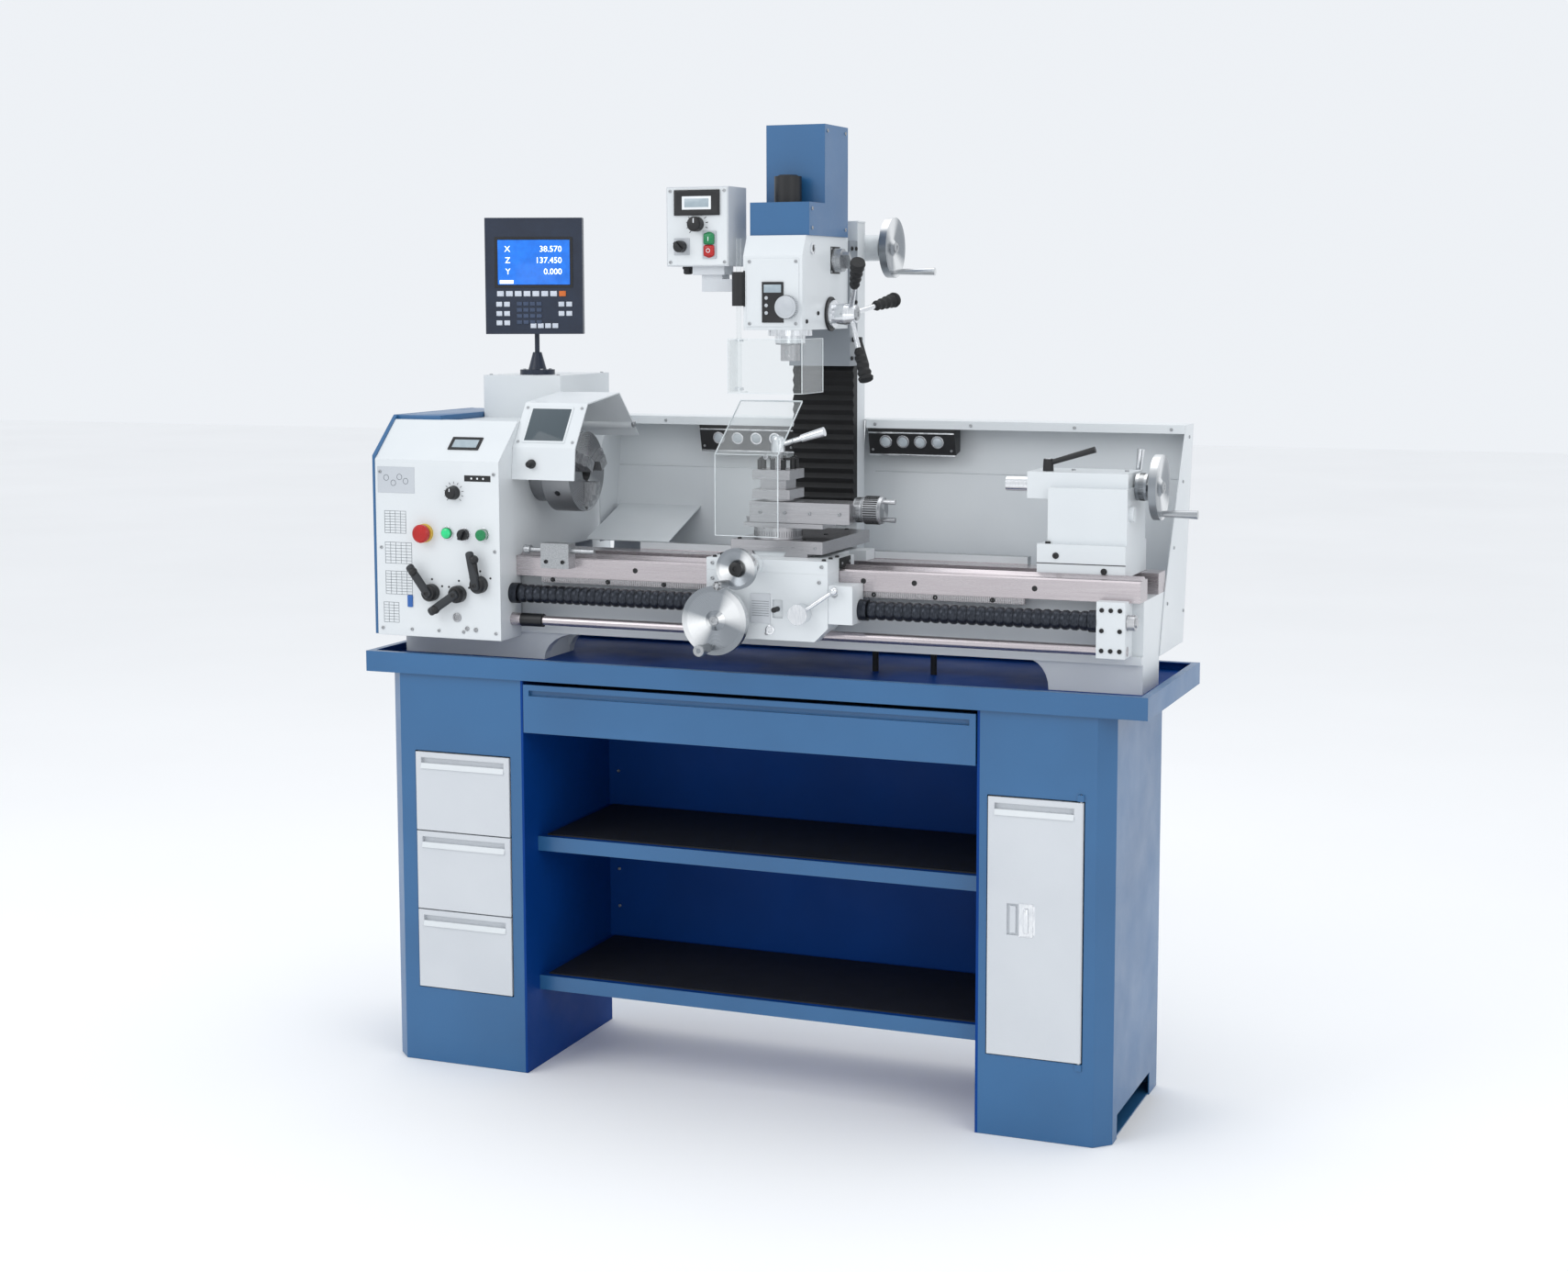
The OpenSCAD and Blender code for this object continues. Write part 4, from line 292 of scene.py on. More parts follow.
# Lit or glassy faces, each as its light and dark tone and how much light it gives
SHINES = {
    # Lit screen: the one saturated light on the machine
    "blue screen": ("screen", "screen_shade", 0.9),
    # Numerals, brighter than the screen behind them
    "screen digits": ("#f2f8ff", "#e4f0ff", 1.4),
    # Small grey readouts, unlit, yet given a faint painted glow
    "pale screen": ("#a4b1b8", "#93a1a9", 0.1),
    # Frosted lenses of the work lamps, switched off, yet given a faint painted glow
    "lamp lens": ("#c3cacf", "#9ca5ab", 0.06),
    # Pilot lamp
    "green light": ("#27c07a", "#1aa566", 0.5),
}
# Finishes made so far, by their name
finishes = {}


def finish(name):
    """Finds or makes a plain finish by its name."""
    if name in finishes:
        return finishes[name]
    material, tree, coords, output = new_material(name)
    if name in ENAMELS:
        shader = enamel(tree, coords, *ENAMELS[name])
    elif name in METALS:
        shader = machined(tree, coords, *METALS[name])
    elif name in PLASTICS:
        shader = moulded(tree, coords, *PLASTICS[name])
    elif name in SHINES:
        # Each shine glows; on the unlit readouts and the switched-off lamp lenses the glow is painted light
        code, shade, strength = SHINES[name]
        tint = ramp(tree, noise(tree, coords, 60.0), 0.3, 0.8, tone(shade), tone(code))
        shader = add(tree, "ShaderNodeBsdfPrincipled", {}, {
            "Base Color": tint, "Roughness": 0.15, "Emission Color": tint,
            "Emission Strength": strength}).outputs[0]
    elif name in ("clear acrylic", "smoked acrylic"):
        shader = acrylic(tree, coords, name == "smoked acrylic")
    tree.links.new(shader, output.inputs["Surface"])
    finishes[name] = material
    return material


def acrylic(tree, coords, smoked):
    """Clear sheet that lets most light straight through, brighter at grazing angles, faintly wiped."""
    wipe = noise(tree, coords, 30.0, (1, 1, 0.3))
    dull = ramp(tree, wipe, 0.3, 0.8, grey(0.04), grey(0.1))
    tint = "#8b959b" if smoked else "#fbfcfc"
    through = add(tree, "ShaderNodeBsdfTransparent", {}, {"Color": colour(tint)})
    gloss = add(tree, "ShaderNodeBsdfPrincipled", {}, {
        "Base Color": colour("#69747a" if smoked else "#eff2f3"), "Roughness": dull})
    rim = add(tree, "ShaderNodeLayerWeight", {}, {"Blend": 0.25})
    low, high = (0.45, 0.8) if smoked else (0.04, 0.4)
    share = add(tree, "ShaderNodeMapRange", {}, {
        "Value": rim.outputs["Facing"], "To Min": low, "To Max": high})
    return add(tree, "ShaderNodeMixShader", {}, {
        0: share.outputs[0], 1: through.outputs[0], 2: gloss.outputs[0]}).outputs[0]


def zoned(name, base, zones):
    """A material of one finish with others inside boxes of the stand's measures."""
    material, tree, coords, output = new_material(name)
    shader = shader_of(tree, coords, base)
    for upper, boxes in zones:
        shader = over_boxes(tree, coords, shader, shader_of(tree, coords, upper), boxes)
    tree.links.new(shader, output.inputs["Surface"])
    return material


def shader_of(tree, coords, name):
    """The shader of a named finish inside another material's tree."""
    if name in ENAMELS:
        return enamel(tree, coords, *ENAMELS[name])
    if name in METALS:
        return machined(tree, coords, *METALS[name])
    return moulded(tree, coords, *PLASTICS[name])


def bed_finish():
    """White casting whose ways, rack, rail and way stop are bare ground metal."""
    ways = [((-790, 80, 984.9), (770, 145.2, 1032)), ((-790, 234.8, 984.9), (770, 290.05, 1025)),
        ((-446, 88, 972), (542, 106, 985.2))]
    rail = [((-323, 290.05, 991), (491, 313, 1039))]
    stop = [((-470, 50, 1004), (-310, 89.9, 1056))]
    return zoned("cast bed with ground ways", "white enamel",
        [("way steel", ways), ("zinc steel", rail), ("zinc steel", stop)])


def wavy(name, base, axis, pitch, depth, low, high):
    """A metal with cut grooves every so many mm along an axis, between two corners, banded in painted light
    and shade along the grooves.
    """
    material, tree, coords, output = new_material(name)
    code, shade, stretch, roughness = METALS[base]
    waves = add(tree, "ShaderNodeTexWave", {"bands_direction": axis, "wave_profile": "SIN"}, {
        "Vector": coords, "Scale": 1000 / pitch / 20 * math.pi})
    part = inside(tree, coords, low, high)
    height = add(tree, "ShaderNodeMath", {"operation": "MULTIPLY"}, {0: waves.outputs["Fac"], 1: part})
    # Painted light and shade: the colour follows the grooves' height, darker on the raised part, in bands
    # along the thread
    tint = ramp(tree, height.outputs[0], 0.1, 0.9, tone(code), tone(shade))
    streaks = noise(tree, coords, 260.0, stretch)
    dull = ramp(tree, streaks, 0.2, 0.8, grey(roughness + 0.12), grey(roughness - 0.06))
    shader = add(tree, "ShaderNodeBsdfPrincipled", {}, {
        "Base Color": tint, "Metallic": 0.85, "Roughness": dull,
        "Normal": relief(tree, height.outputs[0], depth, 0.0007)})
    tree.links.new(shader.outputs[0], output.inputs["Surface"])
    return material


def rings(name, base, centre, axis, per_metre=900.0):
    """A turned metal: fine rings about an axis, as the lathe tool leaves them, in its roughness and bump; its
    colour fans light and dark round the axis as a painted reflection.
    """
    material, tree, coords, output = new_material(name)
    code, shade, _, roughness = METALS[base]
    turn = {X_AXIS: (0, math.pi / 2, 0), Y_AXIS: (math.pi / 2, 0, 0), Z_AXIS: (0, 0, 0)}[axis]
    at_centre = add(tree, "ShaderNodeVectorMath", {"operation": "SUBTRACT"}, {0: coords, 1: place(*centre)})
    mapped = add(tree, "ShaderNodeMapping", {}, {"Vector": at_centre.outputs[0], "Rotation": turn})
    waves = add(tree, "ShaderNodeTexWave", {"wave_type": "RINGS", "rings_direction": "Z"}, {
        "Vector": mapped.outputs[0], "Scale": per_metre / 20 * math.pi, "Distortion": 1.5, "Detail": 2.0})
    # Painted reflection: the colour fans light and dark round the axis, as turned metal mirrors the room
    around = add(tree, "ShaderNodeTexGradient", {"gradient_type": "RADIAL"}, {"Vector": mapped.outputs[0]})
    turns = add(tree, "ShaderNodeMath", {"operation": "MULTIPLY_ADD"}, {
        0: around.outputs["Fac"], 1: 4 * math.pi, 2: 0.9})
    fan = add(tree, "ShaderNodeMath", {"operation": "COSINE"}, {0: turns.outputs[0]})
    tint = ramp(tree, fan.outputs[0], 0.0, 0.9, tone(shade), tone(code))
    dull = ramp(tree, waves.outputs["Fac"], 0.1, 0.9, grey(roughness + 0.08), grey(roughness - 0.04))
    shader = add(tree, "ShaderNodeBsdfPrincipled", {}, {
        "Base Color": tint, "Metallic": 0.85, "Roughness": dull,
        "Normal": relief(tree, waves.outputs["Fac"], 0.00003, 0.0007)})
    tree.links.new(shader.outputs[0], output.inputs["Surface"])
    return material


def gripped(name, base, upper, centre, radius):
    """A material of one finish with another on all that lies further than so many mm from a point."""
    material, tree, coords, output = new_material(name)
    away = add(tree, "ShaderNodeVectorMath", {"operation": "DISTANCE"}, {0: coords, 1: place(*centre)})
    mask = add(tree, "ShaderNodeMath", {"operation": "GREATER_THAN"}, {0: away.outputs["Value"],
        1: radius / 1000})
    shader = add(tree, "ShaderNodeMixShader", {}, {
        0: mask.outputs[0], 1: shader_of(tree, coords, base), 2: shader_of(tree, coords, upper)})
    tree.links.new(shader.outputs[0], output.inputs["Surface"])
    return material


def dress(nodes, material):
    """Gives CAD nodes one material on every slot."""
    for name in nodes:
        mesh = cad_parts[name].data
        mesh.materials.clear()
        mesh.materials.append(material)


def deselect():
    """Leaves nothing selected, so that an operator acts only on what comes next."""
    bpy.ops.object.select_all(action="DESELECT")


def apply_place(piece):
    """Puts a piece's place, turn and size into its mesh."""
    deselect()
    piece.select_set(True)
    bpy.context.view_layer.objects.active = piece
    bpy.ops.object.transform_apply(location=True, rotation=True, scale=True)
    return piece


def with_modifier(piece, kind, **settings):
    """Adds a modifier, sets it and applies it."""
    deselect()
    piece.select_set(True)
    bpy.context.view_layer.objects.active = piece
    modifier = piece.modifiers.new(kind.title(), kind)
    for key, value in settings.items():
        setattr(modifier, key, value)
    bpy.ops.object.modifier_apply(modifier=modifier.name)
    return piece


def raw_block(low, high):
    """A cube drawn out between two corners in mm, its edges still sharp."""
    a = place(*low)
    b = place(*high)
    deselect()
    bpy.ops.mesh.primitive_cube_add(size=1, location=(a + b) / 2)
    piece = bpy.context.object
    piece.scale = b - a
    return apply_place(piece)


def rounded(piece, edge, segments=2):
    """Rounds a piece's edges by so many mm."""
    return with_modifier(piece, "BEVEL", width=edge / 1000, segments=segments, limit_method="ANGLE")


def block(low, high, edge=0.6, segments=2):
    """A block between two corners in mm, its edges rounded."""
    return rounded(raw_block(low, high), edge, segments)


def stood(piece, centre, axis):
    """Turns a piece's own upright to an axis and moves it to a point in mm."""
    piece.rotation_mode = "QUATERNION"
    piece.rotation_quaternion = Vector(axis).to_track_quat("Z", "Y")
    piece.location = place(*centre)
    return apply_place(piece)


def drawn_out(steps, radius, distance):
    """Extrudes what is selected, in edit mode, through (distance, radius) steps in mm."""
    for far, wide in steps:
        bpy.ops.mesh.extrude_region_move(TRANSFORM_OT_translate={"value": (0, 0, (far - distance) / 1000)})
        share = wide / radius
        bpy.ops.transform.resize(value=(share, share, 1), center_override=(0, 0, 0))
        distance, radius = far, wide


def facing_outward():
    """Turns all faces outward and leaves edit mode."""
    bpy.ops.mesh.select_all(action="SELECT")
    bpy.ops.mesh.normals_make_consistent(inside=False)
    bpy.ops.object.mode_set(mode="OBJECT")


def turned(centre, axis, steps, sides=48):
    """A turned piece from (distance, radius) steps in mm, standing at a point along an axis."""
    distance, radius = steps[0]
    deselect()
    bpy.ops.mesh.primitive_circle_add(vertices=sides, radius=radius / 1000, fill_type="NGON",
        location=(0, 0, distance / 1000))
    piece = bpy.context.object
    apply_place(piece)
    bpy.ops.object.mode_set(mode="EDIT")
    bpy.ops.mesh.select_mode(type="FACE")
    bpy.ops.mesh.select_all(action="SELECT")
    drawn_out(steps[1:], radius, distance)
    facing_outward()
    return stood(piece, centre, axis)


def merge(pieces):
    """Joins pieces to one."""
    deselect()
    for piece in pieces:
        piece.select_set(True)
    bpy.context.view_layer.objects.active = pieces[0]
    if len(pieces) > 1:
        bpy.ops.object.join()
    return pieces[0]


def spread(piece, moves):
    """Copies a piece by offsets in mm, each copy with its own mesh, and joins them with it."""
    copies = [piece]
    for move in moves:
        copy = piece.copy()
        copy.data = piece.data.copy()
        copy.data.transform(Matrix.Translation(Vector(move) / 1000))
        bpy.context.collection.objects.link(copy)
        copies.append(copy)
    return merge(copies)


def turned_about(piece, centre, axis, angles):
    """Copies a piece round an axis by angles in degrees, and joins the copies with it."""
    middle = place(*centre)
    copies = [piece]
    for angle in angles:
        copy = piece.copy()
        copy.data = piece.data.copy()
        turn = Matrix.Rotation(math.radians(angle), 4, Vector(axis))
        copy.data.transform(Matrix.Translation(middle) @ turn @ Matrix.Translation(-middle))
        bpy.context.collection.objects.link(copy)
        copies.append(copy)
    return merge(copies)


def finished(piece, name, body, material):
    """Names a piece, shades it, gives it its material and lets it ride on its body, if it has only one."""
    piece.name = name
    piece.data.name = name
    deselect()
    piece.select_set(True)
    bpy.context.view_layer.objects.active = piece
    bpy.ops.object.shade_smooth_by_angle(angle=math.radians(SMOOTH_ANGLE))
    piece.data.materials.clear()
    piece.data.materials.append(finish(material))
    if body:
        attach(piece, body)
    return piece


def screws(name, body, points, axis=FRONT, radius=4.0, head=2.6, material="zinc steel"):
    """Round screw heads with sunk sockets, one modelled and copied to its places."""
    first = turned(points[0], axis, [(-0.4, radius), (head * 0.7, radius), (head, radius * 0.82),
        (head, radius * 0.5), (head * 0.35, radius * 0.46)], 12)
    moves = [Vector(point) - Vector(points[0]) for point in points[1:]]
    return finished(spread(first, moves), name, body, material)


def panel_point(share_x, share_z):
    """A place on the control panel's front from the shares of its length and height."""
    return (HEAD_RIGHT - share_x * 277, PANEL_Y, 862 + share_z * 351)


class PieceOperator:
    """What every operator of this file shares."""

    bl_options = {"REGISTER", "UNDO"}


def paint(label, about, code):
    """A colour property whose default is a hex code."""
    return FloatVectorProperty(name=label, description=about, subtype="COLOR", size=4, min=0.0, max=1.0,
        default=colour(code))


def measure(label, about, mm):
    """A size property given in mm."""
    return FloatProperty(name=label, description=about, unit="LENGTH", min=0.0, default=mm / 1000)


def power(label, about, watts):
    """A light's power property."""
    return FloatProperty(name=label, description=about, unit="POWER", min=0.0, default=watts)


class LatheMillColours(bpy.types.PropertyGroup):
    """The machine's main colours, each with the darker tone of its uneven spots."""

    blue: paint("Blue", "Enamel of stand, covers and motor", "#2c6494")
    blue_shade: paint("Blue, darker", "Darker tone of the blue enamel", "#265a87")
    # Painted shade: these two darken the blue enamel inside the bays, the shelves and the tray
    painted_shade_blue: paint("Deep blue", "Enamel inside bays and tray", "#013f8c")
    painted_shade_blue_dark: paint("Deep blue, darker", "Darker tone of the deep blue enamel", "#013578")
    white: paint("White", "Enamel of castings and guards", "#dde1e3")
    white_shade: paint("White, darker", "Darker tone of the white enamel", "#d2d7da")
    pale: paint("Pale grey", "Enamel of drawer fronts, door and switch box", "#ced2d6")
    pale_shade: paint("Pale grey, darker", "Darker tone of the pale enamel", "#c4c8cd")
    black: paint("Black", "Plastic of knobs, bezels and sockets", "#1a1b1e")
    black_shade: paint("Black, darker", "Darker tone of the black plastic", "#101113")
    screen: paint("Screen", "Lit screen of the display", "#1565c4")
    screen_shade: paint("Screen, darker", "Darker tone of the lit screen", "#0f56ad")


class LatheMillTrim(bpy.types.PropertyGroup):
    """Sizes of the trim that the visual model adds."""

    numerals: measure("Numerals", "Height of the display's numerals", 17)
    display_rim: measure("Display rim", "Width of the display's raised rim", 8)
    collar: measure("Button collar", "Radius of the collars round the panel's buttons", 14)
    stop_collar: measure("Stop collar", "Radius of the ring behind the emergency stop", 18.5)
    guard_rim: measure("Window rim", "Width of the rim round the chuck guard's window", 4)
    lamp_ring: measure("Lamp ring", "Outer radius of the work lamps' rings", 13)
    lamp_lens: measure("Lamp lens", "Radius of the work lamps' lenses", 9.9)
    rack_pitch: measure("Rack pitch", "Distance between the rack's teeth", 4)
    louvre_pitch: measure("Louvre pitch", "Distance between the louvres", 12)
    wheel_grip: measure("Wheel grip", "Length of the carriage handwheel's grip", 46.5)
    cross_grip: measure("Cross grip", "Length of the cross handwheel's grip", 47)
    fold_depth: measure("Fold depth", "Depth of the bellows' folds", 7)
    rib_height: measure("Rib height", "Height of the spring covers' ribs", 3)


class LatheMillStage(bpy.types.PropertyGroup):
    """Brightness of the studio and the camera's lens."""

    sky: FloatProperty(name="Sky", description="Strength of the light from all round", default=0.92)
    floor: FloatProperty(name="Floor", description="How pale the floor is", default=0.98)
    key: power("Key light", "Light from the front left", 48.0)
    fill: power("Fill light", "Light from the right", 20.0)
    top: power("Top light", "Light from above", 30.0)
    low: power("Low light", "Light into the shelves", 10.0)
    lens: FloatProperty(name="Lens", description="Focal length of the camera, in mm", unit="CAMERA",
        default=54.57)


class LatheMillDisplay(bpy.types.PropertyGroup):
    """How the display stands."""

    yaw: FloatProperty(name="Yaw", description="Turn of the display on its neck, in degrees", default=21.0)


class LATHEMILL_OT_finishes(PieceOperator, bpy.types.Operator):
    """Give every CAD solid its enamel, ground metal, plastic or clear sheet"""

    bl_idname = "lathemill.finishes"
    bl_label = "Finishes"

    def execute(self, context):
        dress(["wide_drawer", "end_cover"], finish("blue enamel"))
        # Inside the bays the blue is darkened as painted shade
        bay = ((-452, 8, -5), (483, 460, 798))
        dress(["left_pedestal", "right_pedestal"], zoned("pedestal sheet", "blue enamel",
            [("deep blue enamel", [bay])]))
        dress(["motor_cover"], zoned("blue cover with black cap", "blue enamel",
            [("black plastic", [((10, 160, 1708.2), (72, 217.9, 1760))])]))
        # The tray's inside is darkened as painted shade; its hoses are black rubber
        dress(["chip_tray"], zoned("tray with its hoses", "blue enamel", [
            ("deep blue enamel", [((-812, 12, 812), (792, 500, 830.6))]),
            ("black rubber", [((200, 190, 816), (350, 220, 910))])]))
        # Inside the shelf unit the blue is darkened as painted shade; the mats are black rubber
        dress(["shelf_unit"], zoned("shelves with rubber mats", "blue enamel", [
            ("deep blue enamel", [((-452, 68.5, -5), (483, 392.5, 798))]),
            ("black rubber", [((-436, 79, 185.1), (465, 381, 188.2)), ((-436, 79, 468.1), (465, 381,
            471.2))])]))
        dress(["small_drawer_1", "small_drawer_2", "small_drawer_3"], finish("pale enamel"))
        dress(["cabinet_door"], zoned("door with its latch", "pale enamel",
            [("chromed steel", [((560, 4, 383), (590, 14, 436))])]))
        dress(["lathe_bed"], bed_finish())
        dress(["headstock"], zoned("headstock casting", "white enamel", [
            ("dark frame plastic", [((-630, 310, 1372.1), (-540, 400, 1500))]),
            ("chromed steel", [((-498.9, 335, 1260), (-360, 360, 1290))])]))
        dress(["control_panel"], zoned("panel sheet", "white enamel", [
            ("green plastic", [((-630, 10, 1055), (-600, 21.9, 1090))]),
            ("black plastic", [((-595, 5, 1050), (-560, 21.9, 1090))])]))
        dress(["splash_guard"], zoned("splash guard sheet", "white enamel",
            [("black plastic", [((-256, 437, 1215), (-45, 479, 1285.2)), ((113, 437, 1215), (297, 479,
            1285.2))])]))
        dress(["chuck_guard", "carriage_saddle", "tailstock_body", "mill_column"], finish("white enamel"))
        dress(["apron"], zoned("apron casting", "white enamel", [
            ("pale enamel", [((20, 26, 920), (78, 27.9, 985))]),
            ("black plastic", [((70, 4, 940), (110, 27.9, 965))])]))
        dress(["mill_head"], zoned("mill head casting", "white enamel",
            [("black plastic", [((19, 108, 1483), (64, 109.9, 1559)), ((-43, 98, 1513), (-15, 126, 1580))]),
             ("chromed steel", [((-5, 150, 1450), (90, 250, 1468.9))])]))
        dress(["control_box"], zoned("switch box", "pale enamel", [
            ("black plastic", [((-165, 100, 1686), (-70, 119.9, 1732)), ((-135, 100, 1650), (-100, 119.9,
            1687)),
                ((-165, 100, 1610), (-135, 119.9, 1645))]),
            ("green plastic", [((-105, 100, 1630), (-75, 119.9, 1660))]),
            ("red plastic", [((-105, 100, 1600), (-75, 119.9, 1629))])]))
        dress(["emergency_stop"], finish("red plastic"))
        dress(["start_button"], finish("green plastic"))
        dress(["speed_knob", "gear_lever_1", "gear_lever_2", "gear_lever_3", "quill_lock_lever"],
            finish("black plastic"))
        dress(["display_unit"], finish("dark frame plastic"))
        # The chuck's colour fans round its axis as a painted reflection
        chuck = (CHUCK_FACE, SPINDLE_Y, SPINDLE_Z)
        dress(["lathe_spindle"], rings("turned chuck steel", "turned steel", chuck, X_AXIS, 500.0))
        dress(["chuck_jaw_1", "chuck_jaw_2", "chuck_jaw_3"], finish("turned steel"))
        # The leadscrew's thread is banded in painted light and shade
        dress(["leadscrew"], wavy("screw thread", "turned steel", "X", 4.0, 0.0016, (-560, 40, 930), (740,
            100, 970)))
        dress(["milling_spindle", "swivel_base", "top_slide", "cross_slide"], finish("ground steel"))
        dress(["feed_rod"], zoned("feed rod and its coupling", "way steel",
            [("black plastic", [((-478, 50, 880), (-430, 95, 920))])]))
        dress(["tool_post"], zoned("tool post and its screws", "ground steel",
            [("black plastic", [((0, 90, 1206.4), (84, 175, 1230))])]))
        dress(["screw_cover_left", "screw_cover_right"], finish("blued steel"))
        dress(["column_bellows"], finish("black rubber"))
        # The handwheels' and dial's colour fans round their axes as a painted reflection
        dress(["carriage_handwheel"], rings("turned aluminium wheel", "polished aluminium", (-28, 0, 930),
            Y_AXIS))
        dress(["cross_handwheel"], rings("turned cross wheel", "polished aluminium", (33, 0, 1034), Y_AXIS))
        dress(["top_slide_handwheel"], rings("turned dial", "turned steel", (200, 133, 1133), X_AXIS))
        tail = (760, SPINDLE_Y, SPINDLE_Z)
        dress(["tailstock_handwheel"], rings("turned tailstock wheel", "polished aluminium", tail, X_AXIS))
        dress(["height_handwheel"], rings("turned height wheel", "polished aluminium", (150, 480, 1628),
            X_AXIS))
        dress(["feed_lever", "tool_post_lever", "tailstock_clamp_lever", "tailstock_quill", "milling_quill"],
            finish("chromed steel"))
        dress(["range_knob"], finish("zinc steel"))
        dress(["fine_feed_knob"], finish("grey plastic"))
        dress(["quill_feed_handle"], gripped("feed arms with black grips", "chromed steel", "black rubber",
            (141, 258, 1498), 74.0))
        dress(["head_slide"], zoned("dull grey slide", "grey enamel",
            [("black plastic", [((105.1, 350, 1370), (140, 400, 1470))])]))
        dress(["chip_shield", "mill_guard"], finish("clear acrylic"))
        return {"FINISHED"}


class LATHEMILL_OT_stage(PieceOperator, bpy.types.Operator):
    """Set a pale floor, soft studio lights and the camera round the machine"""

    bl_idname = "lathemill.stage"
    bl_label = "Stage"

    def execute(self, context):
        sizes = context.scene.lathe_mill_stage
        scene = context.scene
        scene.view_settings.view_transform = "Standard"
        camera = bpy.data.cameras.new("camera")
        camera.lens = sizes.lens
        camera.sensor_width = 36.0
        camera.shift_y = -0.0468
        camera.clip_end = 100.0
        view = bpy.data.objects.new("camera", camera)
        view.location = (1.69975, -4.272, 1.532)
        turn = Matrix.Rotation(math.radians(21.69), 4, "Z") @ Matrix.Rotation(math.radians(83.61), 4, "X")
        view.rotation_euler = (turn @ Matrix.Rotation(math.radians(-0.12), 4, "Z")).to_euler()
        scene.collection.objects.link(view)
        scene.camera = view
        world = bpy.data.worlds.new("studio")
        world.use_nodes = True
        backdrop = world.node_tree.nodes["Background"]
        backdrop.inputs["Color"].default_value = (0.93, 0.96, 1.0, 1.0)
        backdrop.inputs["Strength"].default_value = sizes.sky
        scene.world = world
        deselect()
        bpy.ops.mesh.primitive_plane_add(size=40, location=(0, 0, -0.0005))
        floor = context.object
        floor.name = "floor"
        apply_place(floor)
        material, tree, coords, output = new_material("pale floor")
        tint = ramp(tree, noise(tree, coords, 0.6), 0.3, 0.7, grey(sizes.floor * 0.97), grey(sizes.floor))
        shader = add(tree, "ShaderNodeBsdfPrincipled", {}, {"Base Color": tint, "Roughness": 0.9})
        tree.links.new(shader.outputs[0], output.inputs["Surface"])
        floor.data.materials.append(material)
        lights = [("key", (-2.6, -3.6, 3.6), 2.6, sizes.key), ("fill", (3.4, -2.6, 2.6), 2.4, sizes.fill),
            ("top", (0.2, 0.6, 4.2), 3.0, sizes.top), ("low", (0.8, -4.6, 0.5), 2.2, sizes.low)]
        for name, spot, width, power in lights:
            light = bpy.data.lights.new(name, "AREA")
            light.size = width
            light.energy = power
            lamp = bpy.data.objects.new(name, light)
            lamp.location = spot
            lamp.rotation_euler = (Vector((0, 0, 0.95)) - Vector(spot)).to_track_quat("-Z", "Y").to_euler()
            scene.collection.objects.link(lamp)
        return {"FINISHED"}


def facing(piece, normal):
    """Selects, in edit mode, the faces of a piece that look one way."""
    bpy.ops.object.mode_set(mode="EDIT")
    bpy.ops.mesh.select_mode(type="FACE")
    bpy.ops.mesh.select_all(action="DESELECT")
    bpy.ops.object.mode_set(mode="OBJECT")
    for face in piece.data.polygons:
        face.select = face.normal.dot(Vector(normal)) > 0.95
    bpy.ops.object.mode_set(mode="EDIT")


def framed(low, high, rim, sunk, edge=0.5):
    """A block whose front is pushed in behind a raised rim."""
    piece = raw_block(low, high)
    facing(piece, FRONT)
    bpy.ops.mesh.inset(thickness=rim / 1000, depth=0)
    bpy.ops.transform.translate(value=Vector(FRONT) * -sunk / 1000)
    bpy.ops.object.mode_set(mode="OBJECT")
    return rounded(piece, edge)


def ring(centre, axis, inner, outer, height, sides=48):
    """A flat ring with a real hole, its front edge broken, standing at a point along an axis."""
    broken = height * 0.2
    steps = [(height - broken, outer), (height, outer - broken), (height, inner), (0, inner)]
    return tube(centre, axis, outer, steps, sides)


def tube(centre, axis, radius, steps, sides=48):
    """A turned piece with a real bore: its (distance, radius) steps in mm come back inside to the start."""
    deselect()
    bpy.ops.mesh.primitive_circle_add(vertices=sides, radius=radius / 1000, fill_type="NOTHING",
        location=(0, 0, 0))
    piece = bpy.context.object
    apply_place(piece)
    bpy.ops.object.mode_set(mode="EDIT")
    bpy.ops.mesh.select_mode(type="EDGE")
    bpy.ops.mesh.select_all(action="SELECT")
    drawn_out(steps, radius, 0)
    bpy.ops.mesh.select_all(action="DESELECT")
    bpy.ops.mesh.select_non_manifold()
    bpy.ops.mesh.bridge_edge_loops()
    facing_outward()
    return stood(piece, centre, axis)


def node_corners(name):
    """A CAD node's lowest and highest corners in the stand's own measures, in mm."""
    return [corner * 1000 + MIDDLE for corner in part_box(name)]


def swung(piece, centre, axis, angle):
    """Turns a piece's mesh about a point by an angle in degrees."""
    middle = place(*centre)
    turn = Matrix.Rotation(math.radians(angle), 4, Vector(axis))
    piece.data.transform(Matrix.Translation(middle) @ turn @ Matrix.Translation(-middle))
    return piece


def numerals(text, centre, height, thickness=0.3):
    """Plain numerals facing the operator, made a mesh."""
    deselect()
    bpy.ops.object.text_add(location=place(*centre), rotation=(math.pi / 2, 0, 0))
    piece = bpy.context.object
    piece.data.body = text
    piece.data.size = height / 1000
    piece.data.extrude = thickness / 2000
    piece.data.resolution_u = 3
    piece.data.align_x = "RIGHT"
    bpy.ops.object.convert(target="MESH")
    return apply_place(bpy.context.object)


def dial_marks(name, body, centre, axis, across, count):
    """Fine engraved marks round a dial or a knob's scale: one modelled and copied round its axis."""
    step = 360.0 / count
    mark = block(*across, 0.08, 1)
    marks = turned_about(mark, centre, axis, [step * i for i in range(1, count)])
    return finished(marks, name, body, "black plastic")


